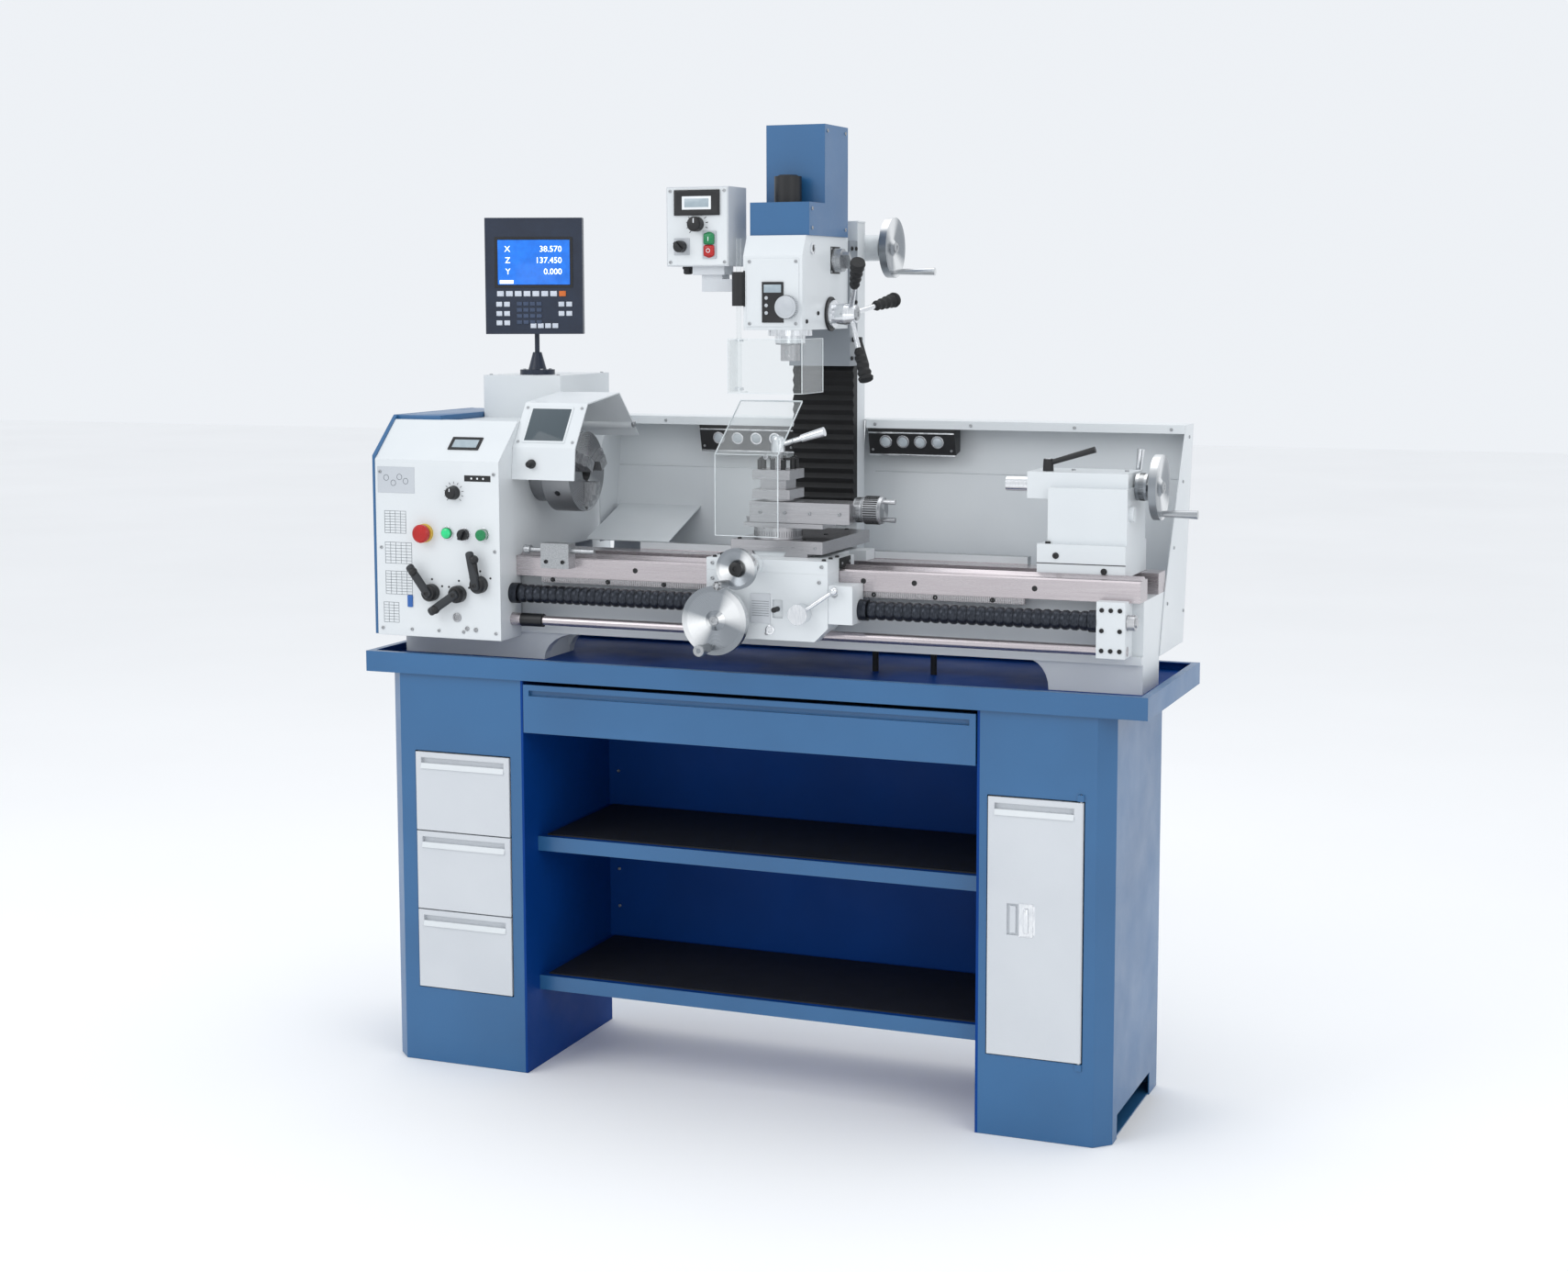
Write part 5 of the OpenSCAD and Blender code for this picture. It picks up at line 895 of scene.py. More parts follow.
class LATHEMILL_OT_display(PieceOperator, bpy.types.Operator):
    """Model the display's rim, lit screen with its numerals, soft keys and keypad"""

    bl_idname = "lathemill.display"
    bl_label = "Display"

    def execute(self, context):
        neck = (-587.5, 360.0, 1456.0)
        x, y, z = neck
        face = y - 43
        yaw = context.scene.lathe_mill_display.yaw
        tall = trim_size("numerals")

        def put(piece, name, material):
            return finished(swung(piece, neck, Z_AXIS, yaw), name, "display_unit", material)

        put(framed((x - 100, face - 2.5, z), (x + 100, face + 1, z + 237), trim_size("display_rim"),
            2.4, 1.2), "display_rim",
            "dark frame plastic")
        put(framed((x - 80, face - 1.2, z + 95), (x + 80, face + 0.5, z + 198), 5, 1.1, 0.5), "display_bezel",
            "black plastic")
        put(block((x - 74, face - 0.6, z + 101), (x + 74, face + 1.9, z + 192), 0.3), "display_screen",
            "blue screen")
        rows = [numerals(text, (x + 58, face - 0.8, z + 168 - i * 23), tall)
            for i, text in enumerate(["38.570", "137.450", "0.000"])]
        rows += [numerals(text, (x - 48, face - 0.8, z + 168 - i * 23), tall) for i, text in enumerate("XZY")]
        rows.append(block((x - 70, face - 0.8, z + 103), (x - 42, face - 0.5, z + 110), 0.1))
        put(merge(rows), "display_numerals", "screen digits")
        soft = block((x - 76, face - 2.2, z + 77), (x - 62, face - 0.05, z + 88), 0.8)
        put(spread(soft, [(18.2 * i, 0, 0) for i in range(1, 7)]), "display_soft_keys", "key plastic")
        pad = block((x - 36, face - 2.0, z + 58), (x - 25, face - 0.05, z + 66), 0.8)
        put(spread(pad, [(13.5 * i, 0, -12.5 * j) for j in range(4) for i in range(4) if i or j]),
            "display_number_keys", "dark key plastic")
        side = block((x - 78, face - 2.0, z + 56), (x - 66, face - 0.05, z + 66), 0.8)
        moves = [(16 * i, 0, -19 * j) for j in range(3) for i in range(2) if i or j]
        moves += [(128 + 16 * i, 0, -19 * j) for j in range(2) for i in range(2)]
        moves += [(70 + 15 * i, 0, -44) for i in range(4)]
        put(spread(side, moves), "display_side_keys", "key plastic")
        put(block((x + 51.4, face - 2.2, z + 77), (x + 65.4, face - 0.05, z + 88), 0.8), "display_enter_key",
            "orange plastic")
        back = [(x + i, y - 9, z + j) for i in (-90, 90) for j in (12, 225)]
        first = turned(back[0], Y_AXIS, [(-0.3, 4), (1.5, 4), (2.4, 3)], 12)
        put(spread(first, [Vector(p) - Vector(back[0]) for p in back[1:]]), "display_back_screws",
            "zinc steel")
        return {"FINISHED"}


class LATHEMILL_OT_panel(PieceOperator, bpy.types.Operator):
    """Model the control panel's screws, readout, scales, button rings and rate tables"""

    bl_idname = "lathemill.panel"
    bl_label = "Control panel"

    def execute(self, context):
        frame_body = "machine_frame"
        edges = [panel_point(i, j) for i in (0.04, 0.96) for j in (0.04, 0.5, 0.93)]
        edges += [panel_point(0.5, 0.04), panel_point(0.3, 0.04), panel_point(0.72, 0.04)]
        screws("panel_screws", frame_body, edges, FRONT, 3.4, 2.0)
        collars = [(0.419, 0.595), (0.282, 0.59), (0.13, 0.593)]
        for i, (a, b) in enumerate(collars):
            finished(ring(panel_point(a, b), FRONT, 11.2, trim_size("collar"), 2.4), f"button_collar_{i + 1}",
                frame_body, "chromed steel")
        lamp = Vector(panel_point(0.419, 0.595)) + Vector((0, -5.6, 0))
        finished(turned(lamp, FRONT, [(0, 10), (2.5, 9.6), (4.2, 6.5), (4.6, 2)], 32), "lamp_lens",
            frame_body,
            "green light")
        grip = Vector(panel_point(0.282, 0.59))
        finished(swung(block(grip + Vector((-3, -19, -10)), grip + Vector((3, -10.8, 10)), 1.6, 3),
            grip, Y_AXIS, 25), "selector_grip", frame_body, "black plastic")
        knob = Vector(panel_point(0.361, 0.823))
        mark = (knob + Vector((-0.5, -0.35, 17.5)), knob + Vector((0.5, 0.2, 22)))
        scale = turned_about(swung(block(*mark, 0.08, 1), knob, Y_AXIS, -135), knob, Y_AXIS,
            [27 * i for i in range(1, 11)])
        finished(scale, "speed_scale", frame_body, "black plastic")
        finished(block(knob + Vector((-1, -18.9, 3)), knob + Vector((1, -17.6, 9)), 0.3), "speed_knob_line",
            "speed_knob", "white plastic")
        for i, (a, b) in enumerate([(0.55, 0.256), (0.332, 0.254), (0.159, 0.313)]):
            hub = Vector(panel_point(a, b))
            dot = turned(hub + Vector((0, 0, 26)), FRONT, [(-0.2, 2.2), (0.3, 2.2)], 16)
            finished(turned_about(swung(dot, hub, Y_AXIS, -60), hub, Y_AXIS, [60, 120]),
                f"lever_marks_{i + 1}", frame_body, "black plastic")
            finished(turned(hub + Vector((0, -27, 0)), FRONT, [(-1, 5), (0.6, 5), (1.2, 4), (1.2, 2.4), (0,
                2)],
                24), f"lever_screw_{i + 1}", f"gear_lever_{i + 1}", "black plastic")
            arm = block(hub + Vector((-8.5, -27, -9)), hub + Vector((8.5, -14, 68)), 6, 4)
            finished(swung(arm, hub, Y_AXIS, (-37, -124, -11)[i]), f"lever_arm_{i + 1}",
                f"gear_lever_{i + 1}",
                "lever plastic")
        for i, (a, b, wide, tall, rows, columns) in enumerate([(0.93, 0.645, 48, 44, 8, 4),
                (0.93, 0.47, 60, 42, 7, 5), (0.93, 0.3, 60, 46, 8, 5), (0.95, 0.13, 34, 40, 7, 3)]):
            corner = Vector(panel_point(a, b)) + Vector((0, 0, -tall / 2))
            far = corner + Vector((wide, 0, tall))
            lines = block(corner + Vector((0, -0.3, 0)), (far.x, PANEL_Y + 0.2, corner.z + 0.7), 0.05, 1)
            lines = spread(lines, [(0, 0, tall / rows * j) for j in range(1, rows + 1)])
            upright = block(corner + Vector((0, -0.3, 0)), (corner.x + 0.7, PANEL_Y + 0.2, far.z + 0.7),
                0.05, 1)
            upright = spread(upright, [(wide / columns * j, 0, 0) for j in range(1, columns + 1)])
            finished(merge([lines, upright]), f"rate_table_{i + 1}", frame_body, "grey lines")
        oval = Vector(panel_point(0.73, 0.2))
        finished(block(oval + Vector((-6, -2.5, -12)), oval + Vector((6, 0.3, 12)), 5.6, 6), "jog_button",
            frame_body, "blue key plastic")
        for i, (a, b) in enumerate([(0.35, 0.12), (0.27, 0.06), (0.2, 0.055)]):
            spot = panel_point(a, b)
            size = 9 if i == 0 else 4.5
            finished(turned(spot, FRONT, [(-0.3, size), (2, size), (2.6, size * 0.85), (2.6, size * 0.6),
                (1.2, size * 0.55)], 24), f"oil_plug_{i + 1}", frame_body, "turned steel")
        finished(ring(panel_point(0.6, 0.59), FRONT, 7.5, trim_size("stop_collar"), 7), "stop_collar",
            frame_body, "yellow plastic")
        strip = Vector(panel_point(0.17, 0.905))
        finished(block(strip + Vector((-29, -0.5, -6)), strip + Vector((29, 0.2, 6)), 0.2, 1), "range_strip",
            frame_body, "black plastic")
        dots = turned(strip + Vector((-13, -0.4, 0)), FRONT, [(-0.2, 2), (0.4, 2)], 16)
        finished(spread(dots, [(13, 0, 0), (26, 0, 0)]), "range_strip_dots", frame_body, "white plastic")
        chart = Vector(panel_point(0.83, 0.885))
        finished(block(chart + Vector((-42, -0.4, -26)), chart + Vector((42, 0.2, 26)), 0.2, 1), "gear_chart",
            frame_body, "label enamel")
        wheel = ring(chart + Vector((-22, -0.3, 4)), FRONT, 5.2, 6, 0.4, 28)
        finished(spread(wheel, [(16, 0, -10), (30, 0, 2), (44, 0, -6)]), "gear_chart_rings", frame_body,
            "grey lines")
        fold = (-590, 22, 1213)
        window = framed((-624, 19.4, 1243), (-556, 22.3, 1277), 4, 1.6, 0.8)
        finished(swung(window, fold, X_AXIS, -47.9), "panel_readout", frame_body, "black plastic")
        # The readout's screen glows faintly as painted light
        screen = block((-617, 20.4, 1249.5), (-563, 21.6, 1270.5), 0.3)
        finished(swung(screen, fold, X_AXIS, -47.9), "panel_readout_screen", frame_body, "pale screen")
        return {"FINISHED"}


class LATHEMILL_OT_end_cover(PieceOperator, bpy.types.Operator):
    """Model the end cover's outer rim with its folded top"""

    bl_idname = "lathemill.end_cover"
    bl_label = "End cover"

    def execute(self, context):
        rim = block((-784, 24, 863), (-776.1, 429, 1297), 1.2)
        top = block((-783, 112, 1284), (-677.5, 429, 1296.5), 1.2)
        cheek = merge([rim, top])
        deselect()
        cheek.select_set(True)
        bpy.context.view_layer.objects.active = cheek
        bpy.ops.object.mode_set(mode="EDIT")
        bpy.ops.mesh.select_all(action="SELECT")
        bpy.ops.mesh.bisect(plane_co=place(-780, 22, 1217), plane_no=(0, -0.67, 0.742), use_fill=True,
            clear_outer=True)
        bpy.ops.object.mode_set(mode="OBJECT")
        finished(cheek, "end_cover_rim", "end_cover", "blue enamel")
        return {"FINISHED"}


class LATHEMILL_OT_guards(PieceOperator, bpy.types.Operator):
    """Model the chuck guard's window and knob, and the splash guard's lamps, crease and screws"""

    bl_idname = "lathemill.guards"
    bl_label = "Guards"

    def execute(self, context):
        low = Vector((0, 80.2, 1239.4))
        tilt = -math.degrees(math.atan2(137.8 - 80.2, 1324.2 - 1239.4))
        window = framed((-482, 78.4, 1250), (-388, 80.6, 1332), trim_size("guard_rim"), 0.9, 0.8)
        finished(swung(window, low, X_AXIS, tilt), "guard_window_frame", "chuck_guard", "white enamel")
        pane = block((-477.5, 78.9, 1254.5), (-392.5, 80.4, 1327.5), 0.3)
        finished(swung(pane, low, X_AXIS, tilt), "guard_window", "chuck_guard", "smoked acrylic")
        rim = [(x, 80.2, z) for x in (-490, -371) for z in (1252, 1330)]
        piece = turned(rim[0], FRONT, [(-0.4, 3), (1.4, 3), (2, 2.2)], 12)
        piece = spread(piece, [Vector(p) - Vector(rim[0]) for p in rim[1:]])
        finished(swung(piece, low, X_AXIS, tilt), "guard_screws", "chuck_guard", "zinc steel")
        finished(turned((-455, 76.8, 1207), FRONT, [(-0.4, 9), (5, 9), (7, 8), (16, 6), (18, 4)], 28),
            "guard_knob", "chuck_guard", "black plastic")
        finished(turned((-362.2, 349, 1273), X_AXIS, [(-3, 7), (1, 7), (2.5, 5.5)], 24), "guard_pin_cap",
            "machine_frame", "zinc steel")
        out = (0, -0.970, -0.242)
        lens = trim_size("lamp_lens")
        for side, (x0, x1) in {"left": (-254.8, -47.0), "right": (114.4, 295.3)}.items():
            bars = []
            for top, tall in ((1262, 3.2), (1214.8, 3.2)):
                bars.append(block((x0 + 0.5, 435.6, top - tall), (x1 - 0.5, 438.6, top), 0.5))
            bars[1].data.transform(Matrix.Translation(Vector((0, 0.0122, 0.0028))))
            finished(merge(bars), f"lamp_edges_{side}", "machine_frame", "polished aluminium")
            step = (x1 - x0) / 5
            spot = (x0 + step, 443.3, 1243)
            moves = [(step * i, 0, 0) for i in range(1, 4)]
            finished(spread(ring(spot, out, 10, trim_size("lamp_ring"), 2.2, 32), moves),
                f"lamp_rings_{side}", "machine_frame",
                "chromed steel")
            # The switched-off lenses glow faintly as painted light
            finished(spread(turned(spot, out, [(-0.5, lens), (1.2, lens), (2.6, 7), (3.2, 3)], 28), moves),
                f"lamp_lenses_{side}", "machine_frame", "lamp lens")
            ends = [(x0 + 8, 446, 1226), (x1 - 8, 446, 1226)]
            screws(f"lamp_screws_{side}", "machine_frame", ends, out, 2.6, 1.6)
        crease = [block((a, 488.0, 1178), (b, 489.9, 1181.5), 0.6) for a, b in ((-463, -24), (112, 754))]
        finished(merge(crease), "guard_crease", "machine_frame", "white enamel")
        lip = [(x, 435.8, 1277.5) for x in (-440, -330, -35, 130, 330, 540, 730)]
        screws("guard_lip_screws", "machine_frame", lip, FRONT, 3.2, 1.8)
        ends = [(757.3, y, z) for y, z in ((300, 960), (350, 1060), (420, 1180), (470, 1262), (440, 930))]
        screws("guard_end_screws", "machine_frame", ends, X_AXIS, 3.2, 1.8)
        return {"FINISHED"}


class LATHEMILL_OT_bed(PieceOperator, bpy.types.Operator):
    """Model the bed's bolts, the screw bracket's screws, the rack's teeth and the stop's knob"""

    bl_idname = "lathemill.bed"
    bl_label = "Bed"

    def execute(self, context):
        holes = [(x, 54, z) for x in (694, 710.5, 727) for z in (902, 975)]
        holes += [(694, 54, 938), (727, 54, 938)]
        screws("bracket_screws", "machine_frame", holes, FRONT, 4.2, 2.4, "black plastic")
        dark = [(x, 93, 979) for x in (-420, -300, -180, 250, 370, 480)]
        screws("rack_bolts", "machine_frame", dark, FRONT, 4.6, 3.4, "black plastic")
        tooth = block((-443, 91.6, 972.2), (-441.2, 93.2, 984), 0.3, 1)
        finished(spread(tooth, [(trim_size("rack_pitch") * i, 0, 0) for i in range(1, 246)]), "rack_teeth",
            "machine_frame",
            "zinc steel")
        plugs = [(x, 90, 1004) for x in (-240, 230, 330, 560)]
        screws("way_plugs", "machine_frame", plugs, FRONT, 5.2, 1.0, "black plastic")
        bolts = [(x, y, 862.1) for x in (-735, -700) for y in (150, 205)]
        screws("foot_bolts_left", "machine_frame", bolts, Z_AXIS, 8, 6)
        finished(turned((-430.5, 75, 1039.3), (-1, 0, 0), [(28, 9), (40, 9), (42, 7.5), (42, 4)], 24),
            "stop_knob", "machine_frame", "zinc steel")
        screws("stop_screws", "machine_frame", [(-418, 60, 1018), (-382, 60, 1018)], FRONT, 4, 3,
            "black plastic")
        rail = [(x, 312, 1012) for x in (-250, -80, 200, 420)]
        screws("rail_bolts", "machine_frame", rail, Y_AXIS, 5, 4)
        gears = [(x, 430, z) for x in (-660, -515) for z in (905, 940)]
        screws("headstock_back_screws", "machine_frame", gears, Y_AXIS, 4, 2.6)
        back = [(x, 516, z) for x in (-664, -511) for z in (912, 1130, 1360)]
        screws("cabinet_screws", "machine_frame", back, Y_AXIS, 4, 2.6)
        lid = [(x, y, 1372) for x in (-665, -510) for y in (302, 504)]
        screws("cabinet_lid_screws", "machine_frame", lid, Z_AXIS, 3.4, 2.0)
        foot = [(-587.5 + 28 * math.cos(a), 360 + 28 * math.sin(a), 1382) for a in QUARTERS]
        screws("display_foot_screws", "machine_frame", foot, Z_AXIS, 3.2, 2.2)
        vent = block((-640, 514.6, 1200), (-535, 517.2, 1204), 0.8)
        finished(spread(vent, [(0, 0, trim_size("louvre_pitch") * i) for i in range(1, 8)]),
            "cabinet_louvres", "machine_frame",
            "white enamel")
        return {"FINISHED"}


class LATHEMILL_OT_covers(PieceOperator, bpy.types.Operator):
    """Model the leadscrew's spring covers and the column's bellows"""

    bl_idname = "lathemill.covers"
    bl_label = "Spring covers and bellows"

    def execute(self, context):
        ends = {"left": ("machine_frame", "carriage"), "right": ("carriage", "machine_frame")}
        for side, (near, far) in ends.items():
            low, high = node_corners(f"screw_cover_{side}")
            middle = (low + high) / 2
            length = high.x - low.x
            collar, collar_r, sleeve_r, bore, ribs = 16, 20, 15, 11.3, 24
            rib_r = sleeve_r + trim_size("rib_height")
            pitch = (length - 2 * collar) / ribs
            steps = [(collar, collar_r), (collar, sleeve_r)]
            for i in range(ribs):
                steps += [(collar + (i + 0.3) * pitch, rib_r), (collar + (i + 0.7) * pitch, rib_r),
                    (collar + (i + 1) * pitch, sleeve_r)]
            steps += [(length - collar, collar_r), (length, collar_r), (length, bore), (0, bore)]
            cover = tube((low.x, middle.y, middle.z), X_AXIS, collar_r, steps)
            finished(cover, f"leadscrew_cover_{side}", None, "blued steel")
            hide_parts(f"screw_cover_{side}")
            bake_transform(cover)
        low, high = node_corners("column_bellows")
        fold = trim_size("fold_depth")
        deselect()
        bpy.ops.mesh.primitive_plane_add(size=1, location=place((low.x + high.x) / 2,
            (low.y + fold + high.y) / 2,
            low.z))
        folds = bpy.context.object
        folds.scale = ((high.x - low.x) / 1000, (high.y - low.y - fold) / 1000, 1)
        apply_place(folds)
        bpy.ops.object.mode_set(mode="EDIT")
        bpy.ops.mesh.select_all(action="SELECT")
        deep, shallow, count = high.y - low.y, high.y - low.y - fold, 16
        rise = (high.z - low.z) / count / 2
        for i in range(count):
            for share in (deep / shallow, shallow / deep):
                bpy.ops.mesh.extrude_region_move(TRANSFORM_OT_translate={"value": (0, 0, rise / 1000)})
                bpy.ops.transform.resize(value=(1, share, 1), center_override=place(0, high.y, 0))
        facing_outward()
        groove = raw_block((MILL_X - 30.3, high.y - 10, low.z - 5), (MILL_X + 30.3, high.y + 5, high.z + 5))
        with_modifier(folds, "BOOLEAN", operation="DIFFERENCE", object=groove, solver="EXACT")
        bpy.data.objects.remove(groove)
        finished(folds, "bellows_folds", None, "black rubber")
        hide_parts("column_bellows")
        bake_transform(folds)
        return {"FINISHED"}


class LATHEMILL_OT_carriage(PieceOperator, bpy.types.Operator):
    """Model the carriage's wipers, screws, dial marks, wheel caps and the tool post's screws"""

    bl_idname = "lathemill.carriage"
    bl_label = "Carriage"

    def execute(self, context):
        for side, x0, x1 in (("left", -65.5, -62), ("right", 182, 185.5)):
            wiper = block((x0, 88, 1025.2), (x1, 144, 1045), 1.0)
            finished(wiper, f"way_wiper_{side}", "carriage", "black rubber")
            ends = [(x0 if side == "left" else x1, y, 1035) for y in (96, 136)]
            screws(f"wiper_screws_{side}", "carriage", ends, (-1 if side == "left" else 1, 0, 0), 2.6, 1.6)
        tops = [(x, y, 1044) for x in (-50, 170) for y in (40, 75, 110)]
        screws("saddle_screws", "carriage", tops, Z_AXIS, 4.2, 3.4, "black plastic")
        front = [(-50, 28, 1005), (165, 28, 1005), (60, 28, 905), (-50, 28, 1034), (170, 28, 1034)]
        screws("apron_screws", "carriage", front, FRONT, 3.6, 2.4)
        finished(turned((67, 28, 912), FRONT, [(-0.3, 9), (2.4, 9), (3, 7.6), (3, 5.5), (1.4, 5)], 28),
            "oil_glass", "carriage", "chromed steel")
        finished(turned((195, 30, 984), FRONT, [(-0.4, 6), (3, 6), (5, 4)], 20), "thread_dial_stud",
            "carriage",
            "zinc steel")
        for name, body, centre, radius in (("carriage_wheel_cap", "carriage_handwheel", (-28, -19, 930), 9),
                ("cross_wheel_cap", "cross_handwheel", (33, -57.5, 1034), 13)):
            black = name.startswith("cross")
            finished(turned(centre, FRONT, [(-1.5, radius), (1.5, radius), (3, radius * 0.8),
                (3, radius * 0.35), (1, radius * 0.3)], 32), name, body,
                "black plastic" if black else "zinc steel")
        grips = (("carriage_wheel_grip", "carriage_handwheel", (-36.8, -24, 880.1), 1.0,
            trim_size("wheel_grip")),
            ("cross_wheel_grip", "cross_handwheel", (18, -63, 1008), 0.8, trim_size("cross_grip")))
        for name, body, centre, share, length in grips:
            finished(turned(centre, FRONT, [(0, 6.5 * share), (4, 9 * share), (length - 3.5, 11.5 * share),
                (length, 10.5 * share), (length, 4.8 * share), (length - 1, 4.4 * share)], 36), name, body,
                "zinc steel")
        # Pale strips along the chip shield's edges: a painted highlight where its edges gather the light
        lean = -math.degrees(math.atan2(128, 97))
        edges = []
        for x in (-63, 65):
            edges.append(block((x - 0.6, 71.6, 1081), (x + 0.6, 75.4, 1236), 0.2, 1))
            slope = block((x - 0.6, 71.6, 1236), (x + 0.6, 75.4, 1396.6), 0.2, 1)
            edges.append(swung(slope, (0, 72, 1236), X_AXIS, lean))
        edges.append(block((-63, 71.6, 1080.6), (65, 75.4, 1081.8), 0.2, 1))
        edges.append(block((-63, 71.5, 1235.4), (65, 72.4, 1236.4), 0.2, 1))
        top = block((-63, 71.6, 1395.6), (65, 75.4, 1396.8), 0.2, 1)
        edges.append(swung(top, (0, 72, 1236), X_AXIS, lean))
        finished(merge(edges), "shield_bright_edges", "chip_shield", "polished edge")
        lines = block((31, 26.1, 938), (65, 26.6, 938.7), 0.05, 1)
        lines = spread(lines, [(0, 0, 4.5 * i) for i in range(1, 7)])
        finished(lines, "apron_plate_lines", "carriage", "grey lines")
        dial_marks("cross_dial_marks", "cross_handwheel", (33, 0, 1034), Y_AXIS,
            ((32.75, -12, 1051.6), (33.25, -1, 1052.35)), 50)
        dial_marks("carriage_dial_marks", "carriage_handwheel", (-28, 0, 930), Y_AXIS,
            ((-28.25, 8, 951.6), (-27.75, 18, 952.35)), 60)
        dial_marks("top_dial_marks", "top_slide_handwheel", (200, 133, 1133), X_AXIS,
            ((203, 132.75, 1156), (213, 133.25, 1156.8)), 60)
        dial_marks("top_drum_grip", "top_slide_handwheel", (200, 133, 1133), X_AXIS,
            ((221, 132, 1158.6), (248, 134, 1159.8)), 36)
        dial_marks("swivel_marks", "swivel_base", (42, 133, 1080), Z_AXIS,
            ((41.7, 86.6, 1079), (42.3, 87.4, 1090)), 60)
        slots = [(x, y, 1074) for x in (-24, 108) for y in (100, 215, 330)]
        screws("cross_slide_screws", "cross_slide", slots, Z_AXIS, 4, 2.6, "black plastic")
        lock = [(x, 95, 1126) for x in (20, 70, 120, 180)]
        screws("top_slide_gib_screws", "top_slide", lock, FRONT, 3.4, 3)
        cover = [(135, 85, 1062), (135, 347, 1062)]
        screws("scale_cover_screw_front", "cross_slide", cover[:1], FRONT, 3, 2)
        screws("scale_cover_screw_back", "cross_slide", cover[1:], Y_AXIS, 3, 2)
        ends = []
        for turn in range(4):
            for along in (-21.5, 0):
                spot = Vector((along, -29, 1225))
                spot.rotate(Matrix.Rotation(turn * math.pi / 2, 3, "Z"))
                ends.append((42 + spot.x, 133 + spot.y, 1225))
        screws("tool_bolt_heads", "tool_post", ends, Z_AXIS, 5.6, 4.4, "black plastic")
        finished(turned((42, 133, 1260), Z_AXIS, [(-3, 12), (3, 12), (7, 10), (9, 6)], 32), "tool_post_nut",
            "top_slide", "chromed steel")
        clamp = [(42, 72, 1232)]
        screws("shield_screw", "chip_shield", clamp, FRONT, 5, 3.4)
        return {"FINISHED"}


class LATHEMILL_OT_tailstock(PieceOperator, bpy.types.Operator):
    """Model the tailstock's plates, oil caps, screws, quill scale and dial marks"""

    bl_idname = "lathemill.tailstock"
    bl_label = "Tailstock"

    def execute(self, context):
        split = block((554, 121.2, 1047), (720, 122.4, 1048.6), 0.3)
        finished(split, "tailstock_seam", "tailstock", "black plastic")
        holes = [(680, 122, 1036), (590, 122, 1062)]
        screws("tailstock_screws", "tailstock", holes, FRONT, 6, 2.4, "black plastic")
        oil = [(600, 205, 1212), (700, 205, 1212)]
        screws("oil_caps", "tailstock", oil, Z_AXIS, 4, 3)
        finished(turned((527.2, 205, 1185), (-1, 0, 0), [(-0.4, 22), (1.6, 22), (2.6, 20), (2.6, 14.4),
            (-0.2, 14.4)], 48), "quill_wiper", "tailstock", "zinc steel")
        dial_marks("quill_scale", "tailstock_quill", (500, 205, 1185), X_AXIS,
            ((480, 204.8, 1198.7), (480.5, 206.5, 1199.15)), 1)
        dial_marks("tail_dial_marks", "tailstock_handwheel", (730, 205, 1185), X_AXIS,
            ((726, 204.7, 1209.6), (736, 205.3, 1210.3)), 60)
        finished(turned((766.6, 205, 1185), X_AXIS, [(-2, 11), (2, 11), (4, 9), (4, 5), (2, 4.5)], 28),
            "tail_wheel_nut", "tailstock_handwheel", "zinc steel")
        finished(turned((560, 175, 1234), Z_AXIS, [(-0.5, 8), (1, 8), (1.8, 7), (1.8, 3.5), (0.6, 3)], 24),
            "lock_lever_screw", "quill_lock_lever", "zinc steel")
        base = [(573, 130, 1083), (573, 276, 1083)]
        screws("tailstock_base_screws", "tailstock", base, Z_AXIS, 5, 4, "black plastic")
        return {"FINISHED"}


